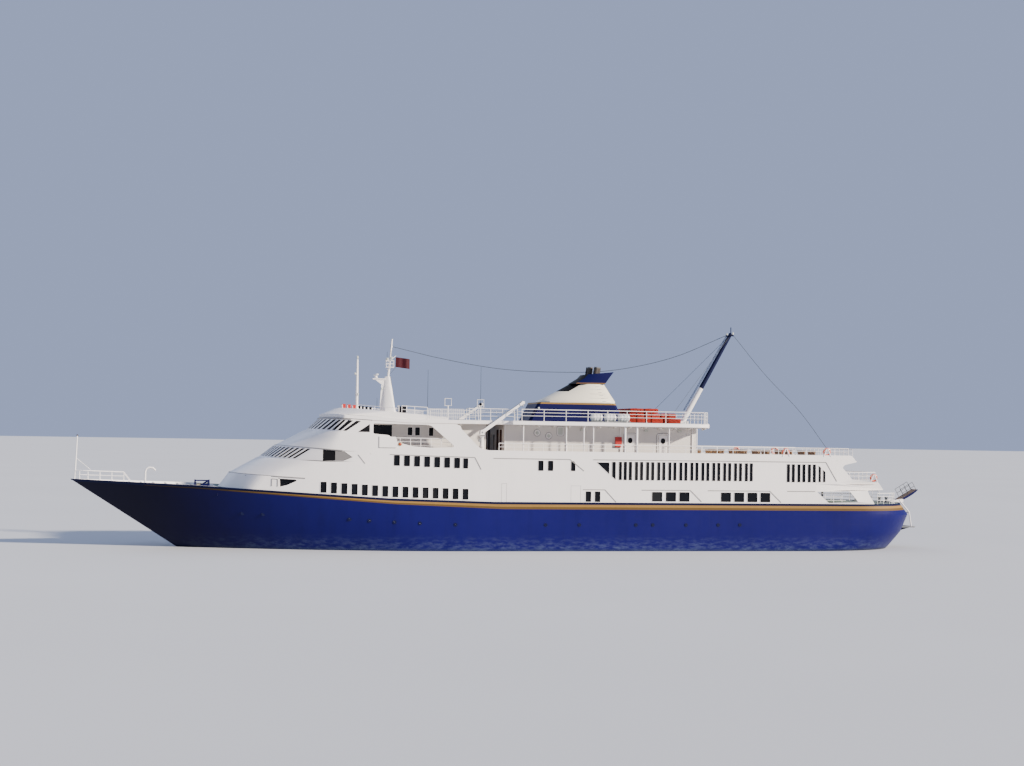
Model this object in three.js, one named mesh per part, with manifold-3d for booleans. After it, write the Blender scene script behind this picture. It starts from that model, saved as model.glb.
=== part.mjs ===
// Passenger ferry, a model at half the size of the ship.
// Every size and place below is a metre of the full-size ship; MM_PER_SHIP_METRE turns it into the model's millimetres.
// +X points to the bow, +Y to port and +Z up; the origin is amidships, on the centreline, at the waterline.
import * as THREE from 'three';
import { mergeVertices } from 'three/addons/utils/BufferGeometryUtils.js';
import Module from 'manifold-3d';

const wasm = await Module();
wasm.setup();

// Driving dimensions
const MODEL_SCALE = 0.5;
const MM_PER_SHIP_METRE = 1000 * MODEL_SCALE;
const GAP = 0.0006;
const HALF_BEAM = 6.4;
const DRAUGHT = 3.6;
const BOW_X = 38.8;
const STERN_X = -37.7;
const BOW_TAPER = 26;
const STERN_TAPER = 6.6;

// Deck levels on the straight part of the ship
const MAIN_SHEER = 4.25;
const LOWER_DECK_Z = 6.1;
const SUN_DECK_UNDERSIDE = 7.86;
const SUN_DECK_Z = 8.2;
const SUN_COAMING_Z = 8.72;
const TOP_DECK_UNDERSIDE = 11.0;
const TOP_DECK_Z = 11.4;

// Lengthwise stations shared by neighbouring pieces
const FOREDECK_STEP_X = 26.6;
const FOREDECK_Z = 4.6;
const MAIN_HOUSE_AFT_X = -27;
const FRONT_JOINT_X = 15.9;
const UPPER_HOUSE_AFT_X = -29;
const BRIDGE_HOUSE_AFT_X = 3.4;
const SUN_HOUSE_FORE_X = 1.74;
const SUN_HOUSE_AFT_X = -16.2;

// The sheer line: the ship's side rises towards the bow in straight runs
const SHEER_LINE = [
  { x: -39.2, z: MAIN_SHEER },
  { x: 3, z: MAIN_SHEER },
  { x: 12.2, z: 4.5 },
  { x: 28.6, z: 5.42 },
  { x: 38.8, z: 5.76 },
];
const LOWER_DECK_LINE = [{ x: -40, z: LOWER_DECK_Z }, { x: 18, z: LOWER_DECK_Z }, { x: 26, z: 6.54 }];
const BRIDGE_FLOOR_LINE = [{ x: 15, z: 8.5 }, { x: 22, z: 8.97 }];
const TOP_DECK_UNDER_LINE = [
  { x: -20, z: TOP_DECK_UNDERSIDE },
  { x: 10.5, z: TOP_DECK_UNDERSIDE },
  { x: 18, z: 11.41 },
];
const ROOF_NOSE_X = 16.16;
const ROOF_NOSE_Z = 12.3;
const ROOF_SLOPE = 0.0857;

const COLOURS = {
  hullBlue: 0x1c2a86,
  white: 0xe6e0d8,
  cream: 0xd9d2c0,
  funnelBlue: 0x1b2f9a,
  orange: 0xc23a22,
  steel: 0x8a8d90,
  bronze: 0xa9803c,
};

function paint(colour, roughness = 0.5, metalness = 0) {
  return new THREE.MeshStandardMaterial({ color: colour, roughness, metalness });
}

const hullPaint = paint(COLOURS.hullBlue, 0.35);
const whitePaint = paint(COLOURS.white, 0.45);
const creamPaint = paint(COLOURS.cream, 0.45);
const funnelPaint = paint(COLOURS.funnelBlue, 0.4);
const orangeFabric = paint(COLOURS.orange, 0.7);
const steelMetal = paint(COLOURS.steel, 0.5, 0.6);
const bronzeMetal = paint(COLOURS.bronze, 0.35, 0.8);

// Height of a line made of straight runs, at x
function heightOn(line, x) {
  if (x <= line[0].x) return line[0].z;
  for (let i = 1; i < line.length; i++) {
    const a = line[i - 1];
    const b = line[i];
    if (x <= b.x) return a.z + ((x - a.x) / (b.x - a.x)) * (b.z - a.z);
  }
  return line[line.length - 1].z;
}

// Half-breadth of a form that tapers at both ends: a wedge-shaped bow and a stern of the given roundness
function taperedHalf(x, row) {
  const fromBow = Math.min(1, Math.max(0, (row.fore - x) / row.nose));
  const fromStern = Math.min(1, Math.max(0, (x - row.aft) / row.tail));
  const bow = 1 - (1 - fromBow) ** 2;
  const stern = (1 - (1 - fromStern) ** 2) ** (1 / row.round);
  return row.half * Math.min(bow, stern);
}

const SHEER_ROW = { aft: STERN_X, fore: BOW_X, half: HALF_BEAM, nose: BOW_TAPER, tail: STERN_TAPER, round: 2 };
const sideOf = (x) => taperedHalf(x, SHEER_ROW);

// Solids

function closedGeometry(points, triangles) {
  const geometry = new THREE.BufferGeometry();
  geometry.setAttribute('position', new THREE.Float32BufferAttribute(points.flat(), 3));
  geometry.setIndex(triangles.flat());
  const merged = mergeVertices(geometry, 1e-6);
  const kept = [];
  const index = merged.index.array;
  for (let i = 0; i < index.length; i += 3) {
    const [a, b, c] = [index[i], index[i + 1], index[i + 2]];
    if (a !== b && b !== c && a !== c) kept.push(a, b, c);
  }
  merged.setIndex(kept);
  return merged;
}

// A solid that is the same to port and starboard. Each level is a list of [x, half-breadth, z] from aft to fore.
function symmetricLoft(levels) {
  const count = levels[0].length;
  const points = [];
  for (const level of levels) {
    for (const [x, y, z] of level) points.push([x, y, z]);
    for (const [x, y, z] of level) points.push([x, -y, z]);
  }
  const port = (level, i) => level * 2 * count + i;
  const starboard = (level, i) => level * 2 * count + count + i;
  const triangles = [];
  const quad = (a, b, c, d) => triangles.push([a, b, c], [a, c, d]);
  for (let l = 0; l + 1 < levels.length; l++) {
    for (let i = 0; i + 1 < count; i++) {
      quad(port(l, i + 1), port(l, i), port(l + 1, i), port(l + 1, i + 1));
      quad(starboard(l, i), starboard(l, i + 1), starboard(l + 1, i + 1), starboard(l + 1, i));
    }
    quad(port(l, 0), starboard(l, 0), starboard(l + 1, 0), port(l + 1, 0));
    quad(starboard(l, count - 1), port(l, count - 1), port(l + 1, count - 1), starboard(l + 1, count - 1));
  }
  const top = levels.length - 1;
  for (let i = 0; i + 1 < count; i++) {
    quad(starboard(top, i), starboard(top, i + 1), port(top, i + 1), port(top, i));
    quad(port(0, i), port(0, i + 1), starboard(0, i + 1), starboard(0, i));
  }
  return closedGeometry(points, triangles);
}

function plainGeometry(source) {
  const geometry = source.clone();
  geometry.deleteAttribute('normal');
  geometry.deleteAttribute('uv');
  return mergeVertices(geometry, 1e-6);
}

function toManifold(source) {
  const geometry = plainGeometry(source);
  const mesh = new wasm.Mesh({
    numProp: 3,
    vertProperties: new Float32Array(geometry.attributes.position.array),
    triVerts: new Uint32Array(geometry.index.array),
  });
  mesh.merge();
  return new wasm.Manifold(mesh);
}

function fromManifold(manifold) {
  const mesh = manifold.getMesh();
  const geometry = new THREE.BufferGeometry();
  geometry.setAttribute('position', new THREE.Float32BufferAttribute(mesh.vertProperties, 3));
  geometry.setIndex(Array.from(mesh.triVerts));
  return geometry;
}

function union(...pieces) {
  let whole = toManifold(pieces[0]);
  for (const piece of pieces.slice(1)) whole = whole.add(toManifold(piece));
  return fromManifold(whole);
}

function subtract(body, ...tools) {
  let left = toManifold(body);
  for (const tool of tools) left = left.subtract(toManifold(tool));
  return fromManifold(left);
}

function intersect(body, tool) {
  return fromManifold(toManifold(body).intersect(toManifold(tool)));
}

function box(x0, x1, y0, y1, z0, z1) {
  const geometry = new THREE.BoxGeometry(Math.abs(x1 - x0), Math.abs(y1 - y0), Math.abs(z1 - z0));
  geometry.translate((x0 + x1) / 2, (y0 + y1) / 2, (z0 + z1) / 2);
  return geometry;
}

// A round bar between two points; a second radius tapers it
function bar(from, to, radius, sides = 8, endRadius = radius) {
  const a = new THREE.Vector3(...from);
  const b = new THREE.Vector3(...to);
  const along = b.clone().sub(a);
  const geometry = new THREE.CylinderGeometry(endRadius, radius, along.length(), sides);
  geometry.translate(0, along.length() / 2, 0);
  geometry.applyQuaternion(new THREE.Quaternion().setFromUnitVectors(new THREE.Vector3(0, 1, 0), along.normalize()));
  geometry.translate(...from);
  return geometry;
}

// A flat plate in a plane of constant Y, from an outline of [x, z] points and holes of the same kind
function sidePlate(outline, y0, y1, holes = []) {
  const shape = new THREE.Shape(outline.map(([x, z]) => new THREE.Vector2(x, z)));
  for (const hole of holes) shape.holes.push(new THREE.Path(hole.map(([x, z]) => new THREE.Vector2(x, z))));
  const geometry = new THREE.ExtrudeGeometry(shape, { depth: Math.abs(y1 - y0), bevelEnabled: false });
  geometry.rotateX(Math.PI / 2);
  geometry.translate(0, Math.max(y0, y1), 0);
  return geometry;
}

function mirrorPort(points) {
  return points.map(([x, y, z]) => [x, -y, z]);
}

// Half outline of a house or deck: straight sides that stay inside the ship's side, and a round nose
function houseOutline({ aft, fore, half, nose, height, inset = 0.02 }, extraStations = []) {
  const noseStart = fore - nose;
  const sideStations = [12.8, 16, 18.5, ...extraStations].filter((x) => x > aft + 0.15).sort((a, b) => a - b);
  const stations = [aft, ...sideStations.map((x) => Math.min(x, noseStart)), noseStart];
  const NOSE_STEPS = 8;
  for (let i = 1; i <= NOSE_STEPS; i++) {
    stations.push(noseStart + nose * Math.sin((i / NOSE_STEPS) * (Math.PI / 2)));
  }
  return stations.map((x) => {
    const along = Math.min(1, Math.max(0, (fore - x) / nose));
    const roundHalf = half * Math.sqrt(Math.max(0, 1 - (1 - along) ** 2));
    const y = Math.min(roundHalf, Math.max(0, sideOf(x) - inset));
    return [x, y, typeof height === 'function' ? height(x) : height];
  });
}

// Half outline of a block with a flat front and back
function blockOutline(aft, fore, half, height, stations = [], inset = 0.02) {
  const inside = stations.filter((x) => x > aft + 0.05 && x < fore - 0.05);
  const all = [aft, ...inside, fore];
  return all.map((x) => [x, Math.min(half, sideOf(x) - inset), typeof height === 'function' ? height(x) : height]);
}

const ferry = new THREE.Group();

// Adds a named solid; geometry is in ship metres about the given pivot
function addPiece(name, geometry, material, pivot = [0, 0, 0]) {
  const sized = geometry.clone();
  sized.translate(-pivot[0], -pivot[1], -pivot[2]);
  sized.scale(MM_PER_SHIP_METRE, MM_PER_SHIP_METRE, MM_PER_SHIP_METRE);
  const mesh = new THREE.Mesh(sized, material);
  mesh.name = name;
  mesh.position.set(...pivot.map((value) => value * MM_PER_SHIP_METRE));
  ferry.add(mesh);
}

// Hull: waterline rows from the keel up; z is the height, or the part of the sheer's height where 'rise' is given
const HULL_ROWS = [
  { z: -DRAUGHT, aft: -15, fore: 20.5, half: 3.2, nose: 14, tail: 12, round: 1 },
  { z: -3.2, aft: -18, fore: 23.5, half: 5.0, nose: 18, tail: 16, round: 1 },
  { z: -2.2, aft: -24, fore: 26.3, half: 6.0, nose: 21, tail: 18, round: 1.1 },
  { z: -1.1, aft: -30, fore: 28.2, half: 6.3, nose: 24, tail: 16, round: 1.5 },
  { z: 0, aft: -36.5, fore: 29.8, half: 6.35, nose: 26, tail: 10, round: 2 },
  { rise: 0.38, aft: -37.9, fore: 33.22, half: HALF_BEAM, nose: 26, tail: 8.2, round: 2 },
  { rise: 0.76, aft: -38.6, fore: 36.64, half: HALF_BEAM, nose: 26, tail: 7.6, round: 2 },
  { rise: 1, ...SHEER_ROW },
];
const SHEER_STATIONS = [
  STERN_X, -37.57, -37.2, -36.5, -35.5, -34.3, -32.8, -31.1, -26, -20, -12, -4, 3, 12.2, 16, 19.5, 22.5, 25.5,
  28.6, 31, 33, 35, 36.6, 37.8, BOW_X,
];

function hullLevel(row) {
  return SHEER_STATIONS.map((station) => {
    const share = (station - STERN_X) / (BOW_X - STERN_X);
    const x = row.aft + share * (row.fore - row.aft);
    const z = row.rise === undefined ? row.z : row.rise * heightOn(SHEER_LINE, station);
    return [x, taperedHalf(x, row), z];
  });
}

const wholeHull = symmetricLoft(HULL_ROWS.map(hullLevel));
const ABOVE_ALL = 30;
const foredeckSpace = box(FOREDECK_STEP_X, 45, -10, 10, FOREDECK_Z, ABOVE_ALL);
const RUDDER = { x: -32.5, y: 2.6, top: -0.72, bottom: -3.35 };
const stockBosses = [1, -1].map((sign) => bar(
  [RUDDER.x, sign * RUDDER.y, RUDDER.top + GAP], [RUDDER.x, sign * RUDDER.y, 0.6], 0.22, 10,
));
addPiece('hull', union(subtract(wholeHull, foredeckSpace), ...stockBosses), hullPaint);

// Bow bulwark, standing on the foredeck's edge and following the flare
const innerHull = fromManifold(toManifold(wholeHull).scale([1, 0.95, 1.06]).translate([-0.3, 0, 0]));
const bulwarkSpace = box(FOREDECK_STEP_X + GAP, 45, -10, 10, FOREDECK_Z + GAP, ABOVE_ALL);
const bulwarkRing = subtract(intersect(wholeHull, bulwarkSpace), innerHull);
const portHalf = box(0, 45, GAP / 2, 10, 0, ABOVE_ALL);
const starboardHalf = box(0, 45, -10, -GAP / 2, 0, ABOVE_ALL);
addPiece('bow_bulwark_port', intersect(bulwarkRing, portHalf), hullPaint);
addPiece('bow_bulwark_starboard', intersect(bulwarkRing, starboardHalf), hullPaint);

// A piece cut back by the hull where it meets the underwater body
function cutByHull(piece) {
  const grown = fromManifold(toManifold(wholeHull).translate([-GAP, 0, -GAP]));
  return subtract(piece, grown);
}

// Deckhouses, from the sheer up
const onSheer = (x) => heightOn(SHEER_LINE, x) + GAP;
const lowerDeck = (x) => heightOn(LOWER_DECK_LINE, x);
const bridgeFloor = (x) => heightOn(BRIDGE_FLOOR_LINE, x);
const topDeckUnder = (x) => heightOn(TOP_DECK_UNDER_LINE, x);
const TOP_DECK_DEPTH = TOP_DECK_Z - TOP_DECK_UNDERSIDE;
const topDeckTop = (x) => topDeckUnder(x) + TOP_DECK_DEPTH;
const roofTop = (x) => ROOF_NOSE_Z - ROOF_SLOPE * (ROOF_NOSE_X - x);
const HOUSE_HALF = 6.38;

const mainHouse = { aft: MAIN_HOUSE_AFT_X, half: HOUSE_HALF, nose: 5.6 };
addPiece('main_house', symmetricLoft([
  houseOutline({ ...mainHouse, fore: 26.35, height: onSheer }, [3, 12.2]),
  houseOutline({ ...mainHouse, fore: 25.45, height: lowerDeck }, [3, 12.2]),
]), whitePaint);

const onLowerDeck = (x) => lowerDeck(x) + GAP;
const upperFront = { aft: FRONT_JOINT_X, half: 6.3 };
const FRONT_BULWARK_RISE = 1.46;
addPiece('upper_front', symmetricLoft([
  houseOutline({ ...upperFront, fore: 25.42, nose: 6.4, height: onLowerDeck }),
  houseOutline({ ...upperFront, fore: 23.05, nose: 6.4, height: (x) => lowerDeck(x) + FRONT_BULWARK_RISE }),
  houseOutline({ ...upperFront, fore: 22.9, nose: 6.3, height: (x) => lowerDeck(x) + FRONT_BULWARK_RISE + 0.05 }),
  houseOutline({ ...upperFront, fore: 21.55, nose: 5.6, height: (x) => bridgeFloor(x) - GAP }),
]), whitePaint);

const houseBlock = [UPPER_HOUSE_AFT_X, FRONT_JOINT_X - GAP, HOUSE_HALF];
addPiece('upper_house', symmetricLoft([
  blockOutline(...houseBlock, LOWER_DECK_Z + GAP, [12.8]),
  blockOutline(...houseBlock, SUN_DECK_UNDERSIDE - GAP, [12.8]),
]), whitePaint);

addPiece('sun_deck', symmetricLoft([
  blockOutline(-29.8, FRONT_JOINT_X - GAP, HALF_BEAM, SUN_DECK_UNDERSIDE, [12.8], 0),
  blockOutline(-31.0, FRONT_JOINT_X - GAP, HALF_BEAM, 8.14, [12.8], 0),
  blockOutline(-31.0, FRONT_JOINT_X - GAP, HALF_BEAM, SUN_DECK_Z, [12.8], 0),
]), whitePaint);

const bridgeFront = { aft: FRONT_JOINT_X, half: 6.3 };
const BRIDGE_BULWARK_RISE = 1.55;
addPiece('bridge_front', symmetricLoft([
  houseOutline({ ...bridgeFront, fore: 21.47, nose: 5.5, height: bridgeFloor }),
  houseOutline({ ...bridgeFront, fore: 18.86, nose: 2.9, height: (x) => bridgeFloor(x) + BRIDGE_BULWARK_RISE }),
  houseOutline({ ...bridgeFront, fore: 18.7, nose: 2.75, height: (x) => bridgeFloor(x) + BRIDGE_BULWARK_RISE + 0.05 }),
  houseOutline({ ...bridgeFront, fore: 17.55, nose: 1.6, height: (x) => topDeckUnder(x) - GAP }),
]), whitePaint);

const onSunDeck = SUN_DECK_Z + GAP;
addPiece('bridge_house', symmetricLoft([
  blockOutline(BRIDGE_HOUSE_AFT_X, FRONT_JOINT_X - GAP, 4.4, onSunDeck, [10.5]),
  blockOutline(BRIDGE_HOUSE_AFT_X, FRONT_JOINT_X - GAP, 4.4, (x) => topDeckUnder(x) - GAP, [10.5]),
]), whitePaint);

const AFT_RAIL_X = -30.8;
const SUN_HOUSE_HALF = 4.2;
addPiece('sun_deck_house', box(
  SUN_HOUSE_AFT_X, SUN_HOUSE_FORE_X, -SUN_HOUSE_HALF, SUN_HOUSE_HALF, onSunDeck, TOP_DECK_UNDERSIDE - GAP,
), whitePaint);

// Top deck: a slab with a round nose over the bridge, a bowed after edge and a notch for each crane's jib
const TOP_DECK_NOSE = { fore: 17.5, nose: 1.6, half: HALF_BEAM, inset: 0 };
const AFT_BOW = [[-17.6, 0], [-17.45, 2.4], [-17.05, 4.6], [-16.4, HALF_BEAM]];
function topDeckOutline(height) {
  const fore = houseOutline({ aft: 0, ...TOP_DECK_NOSE, height }, [10.5]);
  return [...AFT_BOW.map(([x, y]) => [x, y, height(x)]), ...fore];
}
const SIDES = [
  { side: 'port', sign: 1 },
  { side: 'starboard', sign: -1 },
];
const CRANES = [
  { side: 'port', sign: 1, x: 4.0 },
  { side: 'starboard', sign: -1, x: 5.4 },
];
const CRANE_Y = 5.5;
const CRANE_NOTCH = { fore: 0.75, aft: 2.6, inner: 5.2 };
const notches = CRANES.map(({ sign, x }) => box(
  x - CRANE_NOTCH.aft, x + CRANE_NOTCH.fore, sign * CRANE_NOTCH.inner, sign * 8, 10.5, 12,
));
const topDeckSlab = symmetricLoft([topDeckOutline(topDeckUnder), topDeckOutline(topDeckTop)]);
addPiece('top_deck', subtract(topDeckSlab, ...notches), whitePaint);

// Bridge roof: a wedge that is highest at its round nose
const ROOF_AFT_X = 7.2;
const roof = { aft: ROOF_AFT_X, half: 6.2 };
addPiece('bridge_roof', symmetricLoft([
  houseOutline({ ...roof, fore: 17.1, nose: 4.6, height: (x) => topDeckTop(x) + GAP }, [10.5]),
  houseOutline({ ...roof, fore: ROOF_NOSE_X, nose: 4.4, height: roofTop }, [10.5]),
]), whitePaint);

// Side screens: the ship's side carried up round the bridge deck, with one closed opening, and aft as the coaming
const SCREEN_OUTLINE = [
  [FRONT_JOINT_X - 2 * GAP, onSunDeck], [FRONT_JOINT_X - 2 * GAP, TOP_DECK_UNDERSIDE - GAP], [6.3, TOP_DECK_UNDERSIDE - GAP],
  [6.06, 10.59], [4.4, 8.98], [3.66, 8.76], [-30.45, SUN_COAMING_Z], [-30.95, onSunDeck],
];
const SIDE_OPENING = [
  [13.67, 10.85], [13.67, 10.04], [12.21, 9.91], [11.82, 9.42], [9.17, 8.92], [6.64, 9.01], [8.77, 10.85],
];
const SCREEN_OUTER = 6.29;
const SCREEN_THICKNESS = 0.14;
for (const { side, sign } of SIDES) {
  const inner = SCREEN_OUTER - SCREEN_THICKNESS;
  addPiece(`side_screen_${side}`,
    sidePlate(SCREEN_OUTLINE, sign * SCREEN_OUTER, sign * inner, [SIDE_OPENING]), whitePaint);
}

// After terrace and the mooring deck's screens below it
addPiece('after_terrace', symmetricLoft([
  blockOutline(-32.1, MAIN_HOUSE_AFT_X - GAP, HOUSE_HALF, 5.54, [-31], 0.05),
  blockOutline(-33.9, MAIN_HOUSE_AFT_X - GAP, HOUSE_HALF, 5.62, [-31], 0.05),
  blockOutline(-33.4, MAIN_HOUSE_AFT_X - GAP, HOUSE_HALF, LOWER_DECK_Z, [-31], 0.05),
]), whitePaint);

const MOORING_OUTLINE = [
  [MAIN_HOUSE_AFT_X - GAP, MAIN_SHEER + GAP], [MAIN_HOUSE_AFT_X - GAP, 5.54 - GAP], [-32.0, 5.54 - GAP],
  [-32.9, MAIN_SHEER + GAP],
];
const MOORING_OPENING = [[-27.4, 5.4], [-30.3, 5.4], [-31.15, 4.56], [-28.22, 4.4]];
for (const { side, sign } of SIDES) {
  addPiece(`mooring_screen_${side}`,
    sidePlate(MOORING_OUTLINE, sign * 6.1, sign * 5.98, [MOORING_OPENING]), whitePaint);
}

// Funnel
addPiece('funnel_casing', symmetricLoft([
  [[-9.95, 2.2, TOP_DECK_Z + GAP], [-1.0, 2.2, TOP_DECK_Z + GAP]],
  [[-9.2, 2.2, 13.15], [-1.9, 2.2, 13.15]],
]), funnelPaint);
const FUNNEL_LEVELS = [
  { z: 13.15 + GAP, aft: -9.2, fore: -2.3, half: 2.1 },
  { z: 13.3, aft: -9.2, fore: -2.5, half: 2.1 },
  { z: 14.9, aft: -8.3, fore: -5.3, half: 1.35 },
];
addPiece('funnel', symmetricLoft(FUNNEL_LEVELS.map(({ z, aft, fore, half }) => [
  [aft, half * 0.8, z], [aft + 0.5, half, z], [(aft + fore) / 2, half, z], [fore - 0.9, half * 0.7, z], [fore, 0, z],
])), creamPaint);
const WING_LEVELS = [
  { z: 14.9 + GAP, aft: -8.3, fore: -5.3, half: 1.35, drop: 0 },
  { z: 15.6, aft: -8.8, fore: -6.2, half: 1.4, drop: 0.15 },
  { z: 16.05, aft: -9.15, fore: -6.5, half: 1.4, drop: 0.28 },
];
const wing = symmetricLoft(WING_LEVELS.map(({ z, aft, fore, half, drop }) => [
  [aft, half, z], [(aft + fore) / 2, half, z - drop / 2], [fore, half * 0.5, z - drop],
]));
const PIPES = [
  { x: -7.1, y: 0.34 }, { x: -7.1, y: -0.34 }, { x: -7.85, y: 0.34 }, { x: -7.85, y: -0.34 }, { x: -7.5, y: 0.95 },
];
const pipes = PIPES.map(({ x, y }) => bar([x, y, 15.5], [x - 0.15, y, 16.5], 0.24, 8));
addPiece('funnel_wing', union(wing, ...pipes), funnelPaint);

// Masts
const MAST_FOOT_SPREAD = 0.45;
function raked(x, y, z0, z1, dx) {
  return [[x, y, z0], [x + dx, y, z1]];
}
const MAIN_MAST = { x: 11.65, top: 18.6, rake: -0.35, radius: 0.11 };
const STAY_EYE = { x: 11.15, z: 17.9 };
const mastFoot = symmetricLoft([
  [[MAIN_MAST.x - 0.9, MAST_FOOT_SPREAD, roofTop(MAIN_MAST.x - 0.9) + GAP],
    [MAIN_MAST.x + 0.4, MAST_FOOT_SPREAD, roofTop(MAIN_MAST.x + 0.4) + GAP]],
  [[MAIN_MAST.x - 0.3, 0.2, 15.2], [MAIN_MAST.x + 0.15, 0.2, 15.2]],
]);
const RADAR = { x: 12.6, z: 15.25, length: 1.8 };
addPiece('main_mast', union(
  mastFoot,
  bar(...raked(MAIN_MAST.x - 0.1, 0, 14.8, MAIN_MAST.top, MAIN_MAST.rake), MAIN_MAST.radius, 8, 0.06),
  box(STAY_EYE.x, STAY_EYE.x + 0.15, -0.04, 0.04, STAY_EYE.z - 0.08, STAY_EYE.z + 0.08),
  box(11.5, RADAR.x + 0.3, -0.14, 0.14, 14.95, 15.08),
  box(11.25, 11.45, -1.5, 1.5, 16.55, 16.65),
), whitePaint);
const radarPivot = [RADAR.x, 0, RADAR.z];
const SCANNER_BASE = 15.08 + GAP;
addPiece('radar_scanner', union(
  bar([RADAR.x, 0, SCANNER_BASE], [RADAR.x, 0, RADAR.z + 0.05], 0.14, 12),
  box(RADAR.x - 0.09, RADAR.x + 0.09, -RADAR.length / 2, RADAR.length / 2, RADAR.z, RADAR.z + 0.18),
), whitePaint, radarPivot);

const FOREMAST_X = 14.3;
addPiece('foremast', union(
  symmetricLoft([
    [FOREMAST_X - 0.25, FOREMAST_X + 0.25].map((x) => [x, 0.25, roofTop(x) + GAP]),
    [[FOREMAST_X - 0.15, 0.15, 12.6], [FOREMAST_X + 0.15, 0.15, 12.6]],
  ]),
  bar([FOREMAST_X, 0, 12.5], [FOREMAST_X, 0, 16.9], 0.13, 8, 0.08),
  box(FOREMAST_X - 0.05, FOREMAST_X + 0.05, -0.7, 0.7, 13.4, 13.48),
), whitePaint);

const AFT_MAST = { x: -16.3, lean: -4.7, top: 20.0, radius: 0.26, head: [-21.3, -20.5], headZ: 19.81 };
const aftMastBase = box(AFT_MAST.x - 0.45, AFT_MAST.x + 0.45, -0.45, 0.45, TOP_DECK_Z + GAP, TOP_DECK_Z + 0.3);
addPiece('aft_mast', union(
  aftMastBase,
  bar([AFT_MAST.x, 0, TOP_DECK_Z + 0.2], [AFT_MAST.x + AFT_MAST.lean, 0, AFT_MAST.top], AFT_MAST.radius, 10, 0.17),
  bar([-21.0, 0, 19.8], [-21.0, 0, 20.6], 0.05, 6),
  box(...AFT_MAST.head, -0.9, 0.9, AFT_MAST.headZ - 0.06, AFT_MAST.headZ + 0.06),
), whitePaint);

// Main stays: wires with a little sag, from mast to mast over the funnel and from the aft mast to the sun deck's rail
const STAY_RADIUS = 0.02;
const STAY_KNOT = 0.012;
function stay(points) {
  const wires = points.slice(1).map(([x, z], i) => bar([points[i][0], 0, points[i][1]], [x, 0, z], STAY_RADIUS, 6));
  const knots = points.slice(1, -1).map(([x, z]) => (
    box(x - STAY_KNOT, x + STAY_KNOT, -STAY_KNOT, STAY_KNOT, z - STAY_KNOT, z + STAY_KNOT)
  ));
  return union(...wires, ...knots);
}
// Each end stands off its fitting by the gap and by what its slanting end face reaches
const STAY_STANDOFF = { mainFore: 0.0045, mainAft: 0.008, backTop: 0.015, backFoot: 0.0132 };
const AFT_RAIL_TOP = SUN_DECK_Z + GAP + 1.1 + 0.035;
addPiece('main_stay', stay([
  [STAY_EYE.x - STAY_STANDOFF.mainFore, STAY_EYE.z], [6.4, 16.95], [1.23, 16.2], [-4.2, 16.0], [-9.49, 16.3],
  [-15.2, 17.6], [AFT_MAST.head[1] + STAY_STANDOFF.mainAft, AFT_MAST.headZ],
]), steelMetal);
addPiece('backstay', stay([
  [AFT_MAST.head[0] - STAY_STANDOFF.backTop, AFT_MAST.headZ], [-24.5, 16.2], [-28.06, 12.75],
  [AFT_RAIL_X, AFT_RAIL_TOP + STAY_STANDOFF.backFoot],
]), steelMetal);

// Cranes: a post that slews on the sun deck and a jib that luffs
const CRANE_POST_TOP = 10.1;
const JIB_PIVOT_Z = 10.32;
const JIB_REACH = 3.9;
const JIB_RISE = 2.85;
for (const { side, sign, x } of CRANES) {
  const y = sign * CRANE_Y;
  const pivotJib = [x, y, JIB_PIVOT_Z];
  addPiece(`crane_base_${side}`, bar([x, y, onSunDeck], [x, y, 9.1], 0.26, 12), whitePaint);
  const cheek = (offset) => box(x - 0.2, x + 0.2, y + offset - 0.05, y + offset + 0.05, CRANE_POST_TOP - 0.1, 10.55);
  addPiece(`crane_post_${side}`, union(
    bar([x, y, 9.1 + GAP], [x, y, CRANE_POST_TOP], 0.2, 12),
    box(x - 0.2, x + 0.2, y - 0.3, y + 0.3, CRANE_POST_TOP - 0.15, CRANE_POST_TOP),
    cheek(-0.25), cheek(0.25),
  ), whitePaint, [x, y, 9.1]);
  const jibLength = Math.hypot(JIB_REACH, JIB_RISE);
  const jib = union(
    box(-0.12, jibLength - 0.35, -0.13, 0.13, -0.15, 0.15),
    bar([jibLength - 0.35, -0.17, 0], [jibLength - 0.35, 0.17, 0], 0.2, 12),
    bar([0, -0.2 + GAP, 0], [0, 0.2 - GAP, 0], 0.11, 10),
  );
  jib.rotateY(-Math.atan2(JIB_RISE, JIB_REACH));
  jib.rotateZ(Math.PI);
  jib.translate(...pivotJib);
  addPiece(`crane_jib_${side}`, jib, whitePaint, pivotJib);
}

// Liferaft canisters in their cradles at the top deck's edge
const CANISTERS = { xs: [-6.3, -7.55, -8.8], half: 0.55, y: 5.8, z: 11.81, radius: 0.37 };
const CRADLE = { aft: -9.4, fore: -5.7, half: 0.3, height: 0.12 };
for (const { side, sign } of SIDES) {
  const { xs, half, z, radius } = CANISTERS;
  const y = sign * CANISTERS.y;
  const cradle = box(
    CRADLE.aft, CRADLE.fore, y - CRADLE.half, y + CRADLE.half, TOP_DECK_Z + GAP, TOP_DECK_Z + CRADLE.height,
  );
  const shells = xs.map((x) => bar([x - half, y, z], [x + half, y, z], radius, 12));
  addPiece(`liferafts_${side}`, union(cradle, ...shells), whitePaint);
}

// Buoyant apparatus stacked abaft the funnel
const FLOAT_STACK = [
  { aft: -15.5, fore: -10.3, z0: TOP_DECK_Z + GAP, z1: 11.85 },
  { aft: -15.0, fore: -10.4, z0: 11.8, z1: 12.35 },
  { aft: -13.3, fore: -10.5, z0: 12.3, z1: 12.75 },
];
addPiece('float_stack', union(...FLOAT_STACK.map(({ aft, fore, z0, z1 }) => box(aft, fore, -2.1, 2.1, z0, z1))),
  orangeFabric);

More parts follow.
